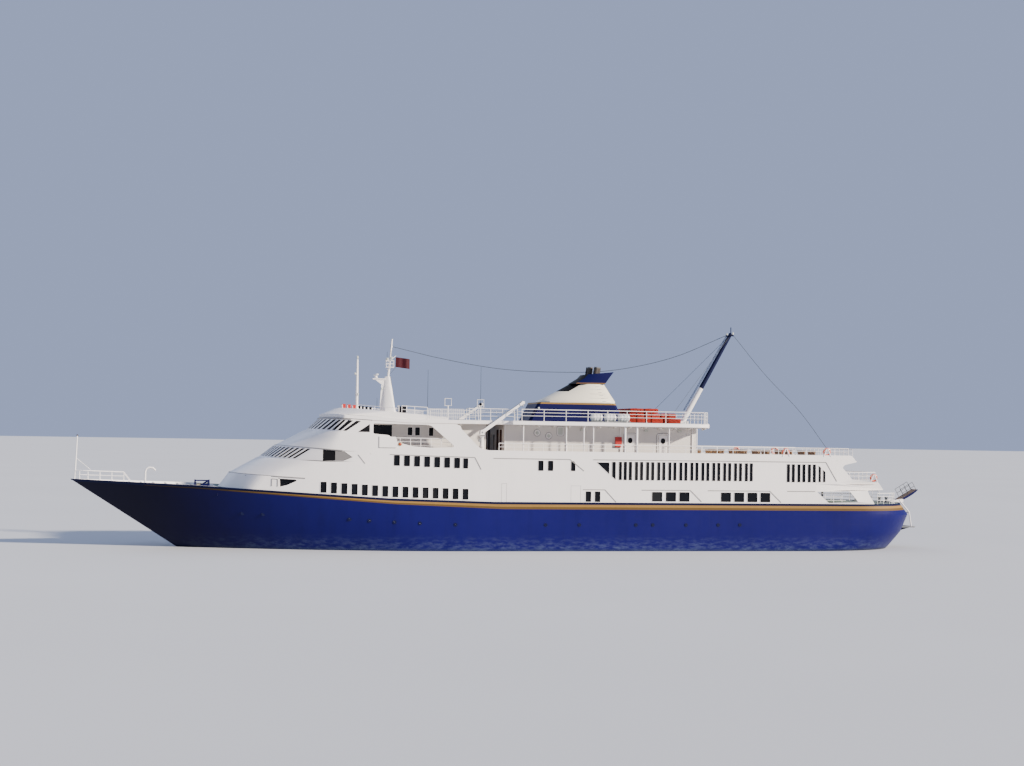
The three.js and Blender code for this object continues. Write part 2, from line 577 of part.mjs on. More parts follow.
// Rails: posts at each point of the path and bars between them
const RAIL_HEIGHT = 1.0;
const POST_HALF = 0.035;
const BAR_HEIGHTS = [0.35, 0.68, 1.0];
function railing(path, height = RAIL_HEIGHT) {
  const pieces = path.map(([x, y, z]) => (
    box(x - POST_HALF, x + POST_HALF, y - POST_HALF, y + POST_HALF, z, z + height + POST_HALF)
  ));
  for (let i = 0; i + 1 < path.length; i++) {
    for (const share of BAR_HEIGHTS) {
      const a = path[i];
      const b = path[i + 1];
      pieces.push(bar([a[0], a[1], a[2] + share * height], [b[0], b[1], b[2] + share * height], 0.03, 4));
    }
  }
  return union(...pieces);
}
function straightPath(from, to, bays) {
  const path = [];
  for (let i = 0; i <= bays; i++) {
    const t = i / bays;
    path.push(from.map((value, k) => value + t * (to[k] - value)));
  }
  return path;
}
const SUN_RAIL_Y = SCREEN_OUTER - SCREEN_THICKNESS / 2;
const topRailZ = TOP_DECK_Z + GAP;
const TOP_RAIL_Y = 6.25;
const coamingTop = (x) => SUN_COAMING_Z + ((x + 30.45) / 34.11) * 0.04 + GAP;
for (const { side, sign, x } of CRANES) {
  const topRailEnd = (end) => [end, sign * TOP_RAIL_Y, topRailZ];
  addPiece(`top_rail_${side}`, railing(straightPath(topRailEnd(x - 3.4), topRailEnd(-16.2), 7)), whitePaint);
  const sunRailEnd = (end) => [end, sign * SUN_RAIL_Y, coamingTop(end)];
  addPiece(`sun_rail_${side}`, railing(straightPath(sunRailEnd(2.6), sunRailEnd(-30.2), 11), 0.62), whitePaint);
}
addPiece('top_rail_aft', railing([
  [-16.35, 6.05, topRailZ], [-17.0, 4.4, topRailZ], [-17.4, 2.2, topRailZ], [-17.5, 0, topRailZ],
  [-17.4, -2.2, topRailZ], [-17.0, -4.4, topRailZ], [-16.35, -6.05, topRailZ],
]), whitePaint);
addPiece('sun_rail_aft', railing(straightPath([AFT_RAIL_X, 5.8, onSunDeck], [AFT_RAIL_X, -5.8, onSunDeck], 6), 1.1), whitePaint);
const terraceZ = LOWER_DECK_Z + GAP;
addPiece('terrace_rail', railing([
  [-29.4, 6.2, terraceZ], [-31.3, 6.1, terraceZ], [-33.1, 5.7, terraceZ], [-33.2, 2.8, terraceZ], [-33.2, 0, terraceZ],
  [-33.2, -2.8, terraceZ], [-33.1, -5.7, terraceZ], [-31.3, -6.1, terraceZ], [-29.4, -6.2, terraceZ],
], 1.1), whitePaint);

// Bow rail on the bulwark's edge, and the jackstaff
const pulpitZ = (x) => heightOn(SHEER_LINE, x) + 0.0018;
const PULPIT_STATIONS = [34.4, 36.0, 37.4];
const pulpitSide = (sign) => PULPIT_STATIONS.map((x) => [x, sign * (sideOf(x) - 0.09), pulpitZ(x)]);
addPiece('bow_rail', union(
  railing([...pulpitSide(1), [38.55, 0, pulpitZ(38.55)], ...pulpitSide(-1).reverse()], 0.85),
  bar([38.55, 0, 6.2], [38.35, 0, 9.6], 0.05, 6, 0.03),
), whitePaint);

// Foredeck gear
const foredeckTop = FOREDECK_Z + GAP;
const BOLLARD_SPREAD = 0.34;
function bollard(x, y, z) {
  return union(
    box(x - 0.6, x + 0.6, y - 0.22, y + 0.22, z, z + 0.08),
    bar([x - BOLLARD_SPREAD, y, z + 0.05], [x - BOLLARD_SPREAD, y, z + 0.62], 0.15, 10),
    bar([x + BOLLARD_SPREAD, y, z + 0.05], [x + BOLLARD_SPREAD, y, z + 0.62], 0.15, 10),
  );
}
addPiece('foredeck_gear', union(
  box(30.2, 31.6, -1.1, 1.1, foredeckTop, foredeckTop + 0.25),
  bar([30.9, -1.3, 5.05], [30.9, 1.3, 5.05], 0.16, 10),
  bar([30.9, -1.0, 5.05], [30.9, -0.45, 5.05], 0.38, 12),
  bar([30.9, 0.45, 5.05], [30.9, 1.0, 5.05], 0.38, 12),
  box(30.6, 31.2, -0.28, 0.28, foredeckTop + 0.2, 5.5),
  box(29.0, 29.4, -1.8, 1.8, foredeckTop, foredeckTop + 0.05),
  box(29.1, 30.4, -0.5, 0.5, foredeckTop, foredeckTop + 0.05),
  bollard(29.2, 1.8, foredeckTop), bollard(29.2, -1.8, foredeckTop),
), steelMetal);
addPiece('stern_bollards', union(
  bollard(-35.4, 2.6, MAIN_SHEER + GAP), bollard(-35.4, -2.6, MAIN_SHEER + GAP),
  box(-35.5, -35.3, -2.5, 2.5, MAIN_SHEER + GAP, MAIN_SHEER + 0.06),
), steelMetal);
addPiece('foredeck_winch', union(
  box(27.0, 28.5, 0.9, 2.1, foredeckTop, foredeckTop + 0.15),
  box(27.15, 27.29, 0.95, 2.05, foredeckTop + 0.1, 5.9), box(28.33, 28.47, 0.95, 2.05, foredeckTop + 0.1, 5.9),
  bar([27.2, 1.5, 5.25], [28.4, 1.5, 5.25], 0.4, 12),
), funnelPaint);

// Underwater gear: skeg, shaft tubes with their brackets, propellers and rudders
addPiece('skeg', cutByHull(symmetricLoft([
  [[-27.5, 0.12, -3.5], [-16.5, 0.2, -3.5]],
  [[-29.5, 0.16, -0.6], [-16.5, 0.2, -0.6]],
])), hullPaint);
const SHAFT = { y: 2.6, z: -2.35, fore: -17, aft: -30.0, radius: 0.2 };
const PROPELLER_X = -30.45;
const BLADE_COUNT = 4;
function propeller(y) {
  const hub = bar([SHAFT.aft - GAP, y, SHAFT.z], [-30.85, y, SHAFT.z], 0.24, 12, 0.18);
  const blades = [];
  for (let i = 0; i < BLADE_COUNT; i++) {
    const blade = new THREE.CylinderGeometry(0.52, 0.26, 1.05, 8);
    blade.scale(1, 1, 0.12);
    blade.rotateY(0.95 * Math.sign(y));
    blade.translate(0, 0.65, 0);
    blade.rotateX((i / BLADE_COUNT) * 2 * Math.PI);
    blade.translate(PROPELLER_X, y, SHAFT.z);
    blades.push(blade);
  }
  return union(hub, ...blades);
}
for (const { side, sign } of SIDES) {
  const y = sign * SHAFT.y;
  addPiece(`shaft_tube_${side}`, cutByHull(union(
    bar([SHAFT.fore, y, SHAFT.z], [SHAFT.aft, y, SHAFT.z], SHAFT.radius, 10),
    box(-29.85, -29.25, y - 0.08, y + 0.08, SHAFT.z, 0.5),
    box(-24.6, -24.0, y - 0.08, y + 0.08, SHAFT.z, 0.5),
  )), steelMetal);
  addPiece(`propeller_${side}`, propeller(y), bronzeMetal, [PROPELLER_X, y, SHAFT.z]);
  const outline = [
    [-31.9, RUDDER.bottom + 0.1], [-31.85, RUDDER.top], [-33.75, RUDDER.top], [-33.55, RUDDER.bottom],
  ];
  const blade = sidePlate(outline, y - 0.12, y + 0.12);
  addPiece(`rudder_${side}`, blade, hullPaint, [RUDDER.x, y, -2]);
}

// Stern: the mooring rail, the folding gangway, and the platform under it with its tube frame
const sternDeck = MAIN_SHEER + GAP;
const PORT_STERN_RAIL = [
  [-33.6, 5.2, sternDeck], [-35.2, 4.4, sternDeck], [-36.3, 3.1, sternDeck], [-36.95, 1.4, sternDeck],
];
const GANGWAY = { x: -38.2, z: 4.45, length: 2.1, half: 0.6, raise: 0.52, rail: 0.95 };
addPiece('stern_rail', union(
  railing(PORT_STERN_RAIL), railing(mirrorPort(PORT_STERN_RAIL)),
  box(-37.5, -36.85, -1.45, 1.45, sternDeck, sternDeck + 0.08),
  box(GANGWAY.x - 0.15, -37.0, -0.95, -0.75, sternDeck + 0.04, 4.6),
  box(GANGWAY.x - 0.15, -37.0, 0.75, 0.95, sternDeck + 0.04, 4.6),
), whitePaint);
const STERN_PLATFORM = { aft: -39.3, half: 1.7, z: 1.9, depth: 0.14 };
const FRAME_PATH = [[-38.97, 1.96], [-38.74, 3.35], [-37.68, 4.55]];
const frameTube = (y) => FRAME_PATH.slice(1).map(([x, z], i) => (
  bar([FRAME_PATH[i][0], y, FRAME_PATH[i][1]], [x, y, z], 0.07, 8)
));
addPiece('stern_platform', cutByHull(union(
  box(STERN_PLATFORM.aft, -36.5, -STERN_PLATFORM.half, STERN_PLATFORM.half,
    STERN_PLATFORM.z, STERN_PLATFORM.z + STERN_PLATFORM.depth),
  ...frameTube(1.3), ...frameTube(-1.3),
  bar([-38.74, -1.3, 3.35], [-38.74, 1.3, 3.35], 0.07, 8),
)), whitePaint);
const gangwaySides = [1, -1].flatMap((sign) => {
  const [outer, inner] = [sign * GANGWAY.half, sign * (GANGWAY.half - 0.06)];
  return [
    box(0.5, 0.56, outer, inner, 0, GANGWAY.rail), box(1.9, 1.96, outer, inner, 0, GANGWAY.rail),
    box(0.5, 1.96, outer, inner, GANGWAY.rail - 0.05, GANGWAY.rail),
  ];
});
const gangway = union(
  sidePlate([[0.05, -0.06], [0.8, -0.13], [1.6, -0.12], [GANGWAY.length, 0], [GANGWAY.length, 0.05], [0.05, 0.06]],
    GANGWAY.half, -GANGWAY.half),
  bar([0, -0.75 + GAP, 0], [0, 0.75 - GAP, 0], 0.09, 10),
  ...gangwaySides,
);
gangway.rotateY(-GANGWAY.raise);
gangway.rotateZ(Math.PI);
gangway.translate(GANGWAY.x, 0, GANGWAY.z);
addPiece('stern_gangway', gangway, funnelPaint, [GANGWAY.x, 0, GANGWAY.z]);

// Doors of the sun deck house, hinged at their forward edge
const DOOR = { width: 0.85, height: 1.95, thickness: 0.06, xs: [-12.6, -9.5] };
for (const { side, sign } of SIDES) {
  DOOR.xs.forEach((x, i) => {
    const y0 = sign * (SUN_HOUSE_HALF + GAP);
    const y1 = sign * (SUN_HOUSE_HALF + GAP + DOOR.thickness);
    const z0 = SUN_DECK_Z + 0.15;
    addPiece(`door_${side}_${i + 1}`, box(x - DOOR.width, x, y0, y1, z0, z0 + DOOR.height), creamPaint, [x, y1, z0]);
  });
}

export default ferry;
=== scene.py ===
"""Looks of a passenger ferry, a model at half the size of the ship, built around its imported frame.

Every length here is a metre of the full-size ship, and SHIP turns it into a metre of the model.
+X points to the bow, +Y to port and +Z up; the origin is amidships, on the centreline, at the waterline.
"""

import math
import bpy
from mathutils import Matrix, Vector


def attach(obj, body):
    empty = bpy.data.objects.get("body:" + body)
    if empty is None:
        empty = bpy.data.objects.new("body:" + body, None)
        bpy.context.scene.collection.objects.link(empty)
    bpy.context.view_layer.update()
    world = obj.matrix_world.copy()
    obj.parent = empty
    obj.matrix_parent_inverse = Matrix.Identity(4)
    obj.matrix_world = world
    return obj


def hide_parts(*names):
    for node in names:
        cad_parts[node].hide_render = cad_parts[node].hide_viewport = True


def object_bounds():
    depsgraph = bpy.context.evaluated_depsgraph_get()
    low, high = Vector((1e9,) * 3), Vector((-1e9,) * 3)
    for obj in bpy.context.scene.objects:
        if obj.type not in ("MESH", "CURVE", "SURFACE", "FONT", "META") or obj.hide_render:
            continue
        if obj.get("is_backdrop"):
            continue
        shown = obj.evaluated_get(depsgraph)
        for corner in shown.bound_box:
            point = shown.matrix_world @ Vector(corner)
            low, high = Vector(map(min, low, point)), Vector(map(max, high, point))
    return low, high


bl_info = {
    "name": "Passenger Ferry",
    "version": (1, 0, 0),
    "blender": (4, 5, 0),
    "location": "3D View > Sidebar > Ferry",
    "description": "Builds the visible pieces and finishes of a passenger ferry around its frame",
    "category": "Object",
}

import bmesh
import bpy
from bpy.props import FloatProperty, FloatVectorProperty, PointerProperty
from mathutils import Matrix, Vector
from mathutils.geometry import tessellate_polygon

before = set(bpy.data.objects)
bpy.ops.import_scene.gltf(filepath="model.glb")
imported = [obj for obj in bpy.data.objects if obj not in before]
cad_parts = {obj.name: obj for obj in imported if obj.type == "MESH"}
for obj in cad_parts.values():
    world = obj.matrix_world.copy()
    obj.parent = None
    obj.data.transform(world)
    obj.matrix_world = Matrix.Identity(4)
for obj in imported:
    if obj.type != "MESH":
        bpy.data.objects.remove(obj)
CAD_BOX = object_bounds()

SHIP = 0.5
SIDES = (("port", 1), ("starboard", -1))
AHEAD, PORT, UP = (1, 0, 0), (0, 1, 0), (0, 0, 1)

# The ship's lines, as the frame has them
STERN_X, BOW_X = -37.7, 38.8
SHEER_LINE = ((-39.2, 4.25), (3.0, 4.25), (12.2, 4.5), (28.6, 5.42), (38.8, 5.76))
LOWER_DECK_LINE = ((-40.0, 6.1), (18.0, 6.1), (26.0, 6.54))
BRIDGE_FLOOR_LINE = ((15.0, 8.5), (22.0, 8.97))
TOP_DECK_LINE = ((10.5, 11.0), (18.0, 11.41))
FOREDECK_X, FOREDECK_Z = 26.6, 4.6
SUN_DECK_Z, TOP_DECK_Z = 8.2, 11.4
HULL_ROWS = (
    # height, then share of the sheer's height; after end, fore end, half-breadth, nose, tail, roundness
    (-3.6, -15.0, 20.5, 3.2, 14.0, 12.0, 1.0),
    (-3.2, -18.0, 23.5, 5.0, 18.0, 16.0, 1.0),
    (-2.2, -24.0, 26.3, 6.0, 21.0, 18.0, 1.1),
    (-1.1, -30.0, 28.2, 6.3, 24.0, 16.0, 1.5),
    (0.0, -36.5, 29.8, 6.35, 26.0, 10.0, 2.0),
    (0.38, -37.9, 33.22, 6.4, 26.0, 8.2, 2.0),
    (0.76, -38.6, 36.64, 6.4, 26.0, 7.6, 2.0),
    (1.0, -37.7, 38.8, 6.4, 26.0, 6.6, 2.0),
)
WATERLINE_ROW = 4
HULL_STATIONS = (
    -37.7, -37.57, -37.2, -36.5, -35.5, -34.3, -32.8, -31.1, -26.0, -20.0, -12.0, -4.0, 3.0,
    12.2, 16.0, 19.5, 22.5, 25.5, 28.6, 31.0, 33.0, 35.0, 36.6, 37.8, 38.8,
)


def lerp(a, b, t):
    return a + (b - a) * t


def clamp(value, low=0.0, high=1.0):
    return max(low, min(high, value))


def height_on(line, x):
    """Height of a line of straight runs at x."""
    if x <= line[0][0]:
        return line[0][1]
    for (x0, z0), (x1, z1) in zip(line, line[1:]):
        if x <= x1:
            return lerp(z0, z1, (x - x0) / (x1 - x0))
    return line[-1][1]


def tapered_half(x, aft, fore, half, nose, tail, roundness):
    bow = 1 - (1 - clamp((fore - x) / nose)) ** 2
    stern = (1 - (1 - clamp((x - aft) / tail)) ** 2) ** (1 / roundness)
    return half * min(bow, stern)


def side_of(x):
    return tapered_half(x, *HULL_ROWS[-1][1:])


def wall_y(x):
    """Half-breadth of the deckhouse side, which stays just inside the ship's side."""
    return min(6.38, side_of(x) - 0.02)


def sheer(x):
    return height_on(SHEER_LINE, x)


def lower_deck(x):
    return height_on(LOWER_DECK_LINE, x)


def bridge_floor(x):
    return height_on(BRIDGE_FLOOR_LINE, x)


def top_deck_under(x):
    return height_on(TOP_DECK_LINE, x)


def roof_top(x):
    return 12.3 - 0.0857 * (16.16 - x)


def through(a, b, c, d, t):
    """A smooth curve's place between b and c, with a before them and d after."""
    bend, twist = 2 * a - 5 * b + 4 * c - d, 3 * b - a - 3 * c + d
    return 0.5 * (2 * b + (c - a) * t + bend * t ** 2 + twist * t ** 3)


def densified(stations, steps):
    """The stations with further ones put evenly between them."""
    found = [lerp(a, b, i / steps) for a, b in zip(stations, stations[1:]) for i in range(steps)]
    return found + [stations[-1]]


def rise_level(rise):
    """Row number, with its fraction, of a share of the sheer's height."""
    if rise <= 0.76:
        return WATERLINE_ROW + rise / 0.38
    return 6 + (rise - 0.76) / 0.24


def hull_at(station, level):
    """The ship's side at a sheer station, at a row number from 0 at the keel to 7 at the sheer."""
    share = (station - STERN_X) / (BOW_X - STERN_X)

    def row(i):
        height, aft, fore, *taper = HULL_ROWS[int(clamp(i, 0, len(HULL_ROWS) - 1))]
        x = lerp(aft, fore, share)
        return Vector((x, tapered_half(x, aft, fore, *taper), height))

    i = min(int(level), len(HULL_ROWS) - 2)
    t = level - i
    a, b, c, d = (row(i + k) for k in (-1, 0, 1, 2))
    point = through(a, b, c, d, t)
    if level >= WATERLINE_ROW:
        rise = (level - WATERLINE_ROW) * 0.38 if level <= 6 else 0.76 + (level - 6) * 0.24
        point.z = rise * sheer(station)
        point.x = lerp(b.x, c.x, t)
    else:
        point.z = lerp(b.z, c.z, t)
    point.y = max(0.0, point.y)
    return point


# Shader maths

class Value:
    """A socket of a finish, which Python's operators work on."""

    def __init__(self, look, socket):
        self.look = look
        self.socket = socket

    def math(self, operation, other=0.0, reflected=False):
        pair = (other, self) if reflected else (self, other)
        return self.look.node("ShaderNodeMath", {"operation": operation}, dict(enumerate(pair)))

    def __add__(self, other):
        return self.math("ADD", other)

    def __radd__(self, other):
        return self.math("ADD", other, True)

    def __sub__(self, other):
        return self.math("SUBTRACT", other)

    def __rsub__(self, other):
        return self.math("SUBTRACT", other, True)

    def __mul__(self, other):
        return self.math("MULTIPLY", other)

    def __rmul__(self, other):
        return self.math("MULTIPLY", other, True)


class Look:
    """The node tree of one finish, around a Principled shader."""

    def __init__(self, name, **constants):
        self.material = bpy.data.materials.new(name)
        self.material.use_nodes = True
        self.tree = self.material.node_tree
        self.shader = self.tree.nodes["Principled BSDF"]
        for socket, value in constants.items():
            self.set(socket.replace("_", " ").title().replace("Ior", "IOR"), value)

    def feed(self, target, value):
        if isinstance(value, Value):
            self.tree.links.new(value.socket, target)
        else:
            target.default_value = value

    def set(self, socket, value):
        self.feed(self.shader.inputs[socket], value)

    def node(self, kind, settings=None, sockets=None, output=0):
        node = self.tree.nodes.new(kind)
        for key, value in (settings or {}).items():
            setattr(node, key, value)
        for key, value in (sockets or {}).items():
            self.feed(node.inputs[key], value)
        return Value(self, node.outputs[output])

    def place(self, stretch=(1.0, 1.0, 1.0)):
        """Position on the piece, stretched along its axes."""
        spot = self.node("ShaderNodeTexCoord", output="Object")
        return self.node("ShaderNodeVectorMath", {"operation": "MULTIPLY"}, {0: spot, 1: stretch})

    def axis(self, name):
        return self.node("ShaderNodeSeparateXYZ", sockets={0: self.place()}, output=name)

    def noise(self, scale, detail=4.0, stretch=(1.0, 1.0, 1.0), roughness=0.55):
        sockets = {"Vector": self.place(stretch), "Scale": scale, "Detail": detail, "Roughness": roughness}
        return self.node("ShaderNodeTexNoise", sockets=sockets)

    def between(self, value, low, high):
        """The value's run from low to high, turned smoothly into a run from 0 to 1."""
        sockets = {"Value": value, "From Min": low, "From Max": high}
        return self.node("ShaderNodeMapRange", {"interpolation_type": "SMOOTHSTEP"}, sockets)

    def mix(self, factor, a, b):
        settings = {"data_type": "RGBA"}
        return self.node("ShaderNodeMix", settings, {"Factor": factor, 6: a, 7: b}, output=2)

    def seam(self, coordinate, pitch, width):
        """1 on lines a pitch apart, 0 between them."""
        distance = coordinate.math("PINGPONG", pitch / 2)
        return 1 - self.between(distance, 0.0, width)

    def bump(self, height, strength, distance=0.01):
        sockets = {"Height": height, "Strength": strength, "Distance": distance}
        self.set("Normal", self.node("ShaderNodeBump", sockets=sockets))


def shade(colour, factor):
    """The colour made lighter or darker, with its alpha."""
    return (*(clamp(channel * factor) for channel in colour[:3]), 1.0)


def paint(name, colour, roughness=0.4, grime=0.12, plates=True, coat=0.15, level=0.35, fore=0.0):
    """Gloss paint on welded steel plate, with weather streaks, faint seams, uneven plating and, when fore is
    set, painted shade towards the bow.
    """
    look = Look(name, coat_roughness=0.25, specular_ior_level=level)
    cloud = look.noise(0.35, 5.0)
    run = look.noise(2.2, 4.0, (1.0, 1.0, 0.12), 0.6)
    fine = look.noise(9.0, 3.0)
    wear = look.between(cloud, 0.35, 0.75) * 0.5 + look.between(run, 0.45, 0.8) * 0.5
    base = look.mix(wear * grime, shade(colour, 1.0), shade(colour, 0.45))
    base = look.mix(look.between(fine, 0.5, 0.9) * (grime * 0.5), base, shade(colour, 1.25))
    # Painted shade: with fore set, the colour darkens towards the bow, where the side turns away from the
    # light.
    if fore:
        base = look.mix(look.between(look.axis("X"), 6.0, 15.5) * fore, base, shade(colour, 0.1))
    look.set("Base Color", base)
    look.set("Roughness", roughness + 0.12 * cloud + 0.08 * fine)
    look.set("Coat Weight", coat)
    if plates:
        across = look.seam(look.axis("X"), 1.6, 0.012)
        along = look.seam(look.axis("Z"), 0.74, 0.010)
        seams = across.math("MAXIMUM", along)
        dents = look.noise(1.1, 2.0, (1.0, 1.0, 1.6))
        look.bump(dents * 0.8 - seams * 0.35, 0.13, 0.012)
    else:
        look.bump(fine, 0.08, 0.006)
    return look.material


def hull_blue(name, colour):
    """Hull paint: salt bloom and scuffs near the water, painted shade towards the bow, plate seams and
    pressed-in frames.
    """
    look = Look(name, coat_weight=0.04, coat_roughness=0.22, specular_ior_level=0.12)
    height = look.axis("Z")
    cloud = look.noise(0.25, 5.0)
    run = look.noise(1.6, 5.0, (1.0, 1.0, 0.16), 0.62)
    scuff = look.noise(5.0, 6.0, (0.5, 1.0, 1.6), 0.7)
    base = look.mix(look.between(run, 0.42, 0.8) * 0.35, shade(colour, 1.0), shade(colour, 0.55))
    base = look.mix(look.between(cloud, 0.45, 0.8) * 0.3, base, shade(colour, 1.35))
    near_water = 1 - look.between(height, 0.02, 0.8)
    base = look.mix(near_water * look.between(scuff, 0.4, 0.7) * 0.45, base, (0.09, 0.12, 0.2, 1.0))
    base = look.mix((1 - look.between(height, 0.0, 0.16)) * 0.7, base, (0.02, 0.03, 0.07, 1.0))
    # Painted shade: the hull darkens towards the bow, where the flare faces away from the light.
    shaded = look.between(look.axis("X"), 9.0, 17.0)
    base = look.mix(shaded * 0.93, base, shade(colour, 0.1))
    look.set("Base Color", base)
    look.set("Roughness", 0.32 + 0.16 * cloud + 0.12 * look.between(scuff, 0.4, 0.8))
    frames = look.seam(look.axis("X"), 0.35, 0.09)
    strakes = look.seam(height, 0.62, 0.010)
    butts = look.seam(look.axis("X"), 2.8, 0.010)
    look.bump(look.noise(0.9, 2.0) * 0.9 - frames * 0.12 - strakes.math("MAXIMUM", butts) * 0.5, 0.25, 0.014)
    return look.material


def antifouling(name):
    look = Look(name, roughness=0.75)
    cloud = look.noise(0.6, 6.0)
    slime = look.noise(3.5, 6.0, (0.4, 1.0, 1.0), 0.7)
    base = look.mix(cloud, (0.16, 0.035, 0.025, 1.0), (0.24, 0.06, 0.04, 1.0))
    look.set("Base Color", look.mix(look.between(slime, 0.5, 0.75) * 0.5, base, (0.10, 0.10, 0.07, 1.0)))
    look.bump(slime, 0.35, 0.01)
    return look.material


def glass(name, colour=(0.003, 0.0035, 0.005, 1.0), level=0.15, roughness=0.12):
    """Tinted window glass with the dark room behind it, lightened in patches by painted reflections."""
    look = Look(name, specular_ior_level=level)
    depth = look.noise(0.8, 3.0)
    blind = look.between(look.noise(0.5, 1.0, (1.0, 1.0, 0.2)), 0.55, 0.62)
    # Painted reflection: the depth noise lightens the glass colour in soft patches.
    base = look.mix(depth, shade(colour, 0.6), shade(colour, 2.4))
    look.set("Base Color", look.mix(blind * 0.2, base, (0.05, 0.05, 0.048, 1.0)))
    look.set("Roughness", roughness + 0.1 * depth)
    look.bump(look.noise(0.7, 1.0), 0.05, 0.01)
    return look.material


def deck_covering(name, colour):
    """Deck paint with anti-slip grain, worn along the walkways."""
    look = Look(name, roughness=0.8)
    wear = look.noise(1.4, 6.0, roughness=0.65)
    grit = look.noise(70.0, 2.0)
    base = look.mix(look.between(wear, 0.45, 0.75) * 0.5, shade(colour, 1.0), shade(colour, 0.6))
    look.set("Base Color", look.mix(grit * 0.25, base, shade(colour, 1.5)))
    look.set("Roughness", 0.62 + 0.25 * grit)
    look.bump(grit, 0.35, 0.003)
    return look.material


def planks(name, colour):
    """Laid deck planks with dark caulking."""
    look = Look(name, roughness=0.7)
    seam = look.seam(look.axis("Y"), 0.07, 0.0035)
    butt = look.seam(look.axis("X") + look.axis("Y") * 3.1, 2.3, 0.003)
    grain = look.noise(3.0, 6.0, (1.0, 14.0, 1.0), 0.7)
    base = look.mix(grain, shade(colour, 0.7), shade(colour, 1.25))
    lines = seam.math("MAXIMUM", butt)
    look.set("Base Color", look.mix(lines, base, (0.03, 0.028, 0.025, 1.0)))
    look.bump(grain * 0.4 - lines, 0.4, 0.004)
    return look.material


def cover_cloth(name, colour):
    """Coated cloth with a weave, folds with painted shade in them and faded patches."""
    look = Look(name, sheen_weight=0.04, specular_ior_level=0.2)
    fold_and_shade = look.noise(1.8, 4.0, (1.0, 1.0, 2.2))
    weave = look.seam(look.axis("X"), 0.012, 0.004).math("MAXIMUM", look.seam(look.axis("Z"), 0.012, 0.004))
    fade = look.noise(0.9, 5.0)
    base = look.mix(look.between(fade, 0.35, 0.75) * 0.6, shade(colour, 0.75), shade(colour, 1.3))
    # Painted shade: the cloth's colour darkens in its folds.
    look.set("Base Color", look.mix(look.between(fold_and_shade, 0.5, 0.8) * 0.4, base, shade(colour, 0.35)))
    look.set("Roughness", 0.6 + 0.2 * fade)
    look.bump(fold_and_shade + weave * 0.05, 0.5, 0.03)
    return look.material


def metal(name, colour, roughness=0.45, metallic=0.7, rust=0.25):
    """Galvanised or cast metal with rust spots."""
    look = Look(name)
    spots = look.noise(6.0, 6.0, roughness=0.7)
    cloud = look.noise(1.2, 4.0)
    mask = look.between(spots, 0.52, 0.72) * rust
    base = look.mix(cloud, shade(colour, 0.75), shade(colour, 1.2))
    look.set("Base Color", look.mix(mask, base, (0.12, 0.045, 0.018, 1.0)))
    look.set("Metallic", metallic * (1 - mask))
    look.set("Roughness", roughness + 0.3 * mask + 0.1 * cloud)
    look.bump(spots, 0.18, 0.004)
    return look.material


def shell_gloss(name, colour):
    """Moulded fibreglass with a faint orange-peel surface."""
    look = Look(name, coat_weight=0.4, coat_roughness=0.12)
    cloud = look.noise(1.6, 4.0)
    dirt = look.noise(5.0, 5.0, (1.0, 1.0, 0.3))
    look.set("Base Color",
             look.mix(look.between(dirt, 0.5, 0.8) * 0.25, shade(colour, 1.0), shade(colour, 0.6)))
    look.set("Roughness", 0.3 + 0.15 * cloud)
    look.bump(look.noise(40.0, 2.0), 0.06, 0.002)
    return look.material


def wood(name, colour):
    look = Look(name)
    grain = look.noise(4.0, 6.0, (1.0, 9.0, 9.0), 0.7)
    look.set("Base Color", look.mix(grain, shade(colour, 0.55), shade(colour, 1.3)))
    look.set("Roughness", 0.45 + 0.25 * grain)
    look.bump(grain, 0.25, 0.003)
    return look.material


def pale_floor(name):
    look = Look(name, roughness=0.85)
    look.set("Base Color", look.mix(look.noise(0.05, 3.0), (0.52, 0.54, 0.57, 1.0), (0.58, 0.60, 0.63, 1.0)))
    look.bump(look.noise(3.0, 3.0), 0.03, 0.01)
    return look.material


FINISHES = {}


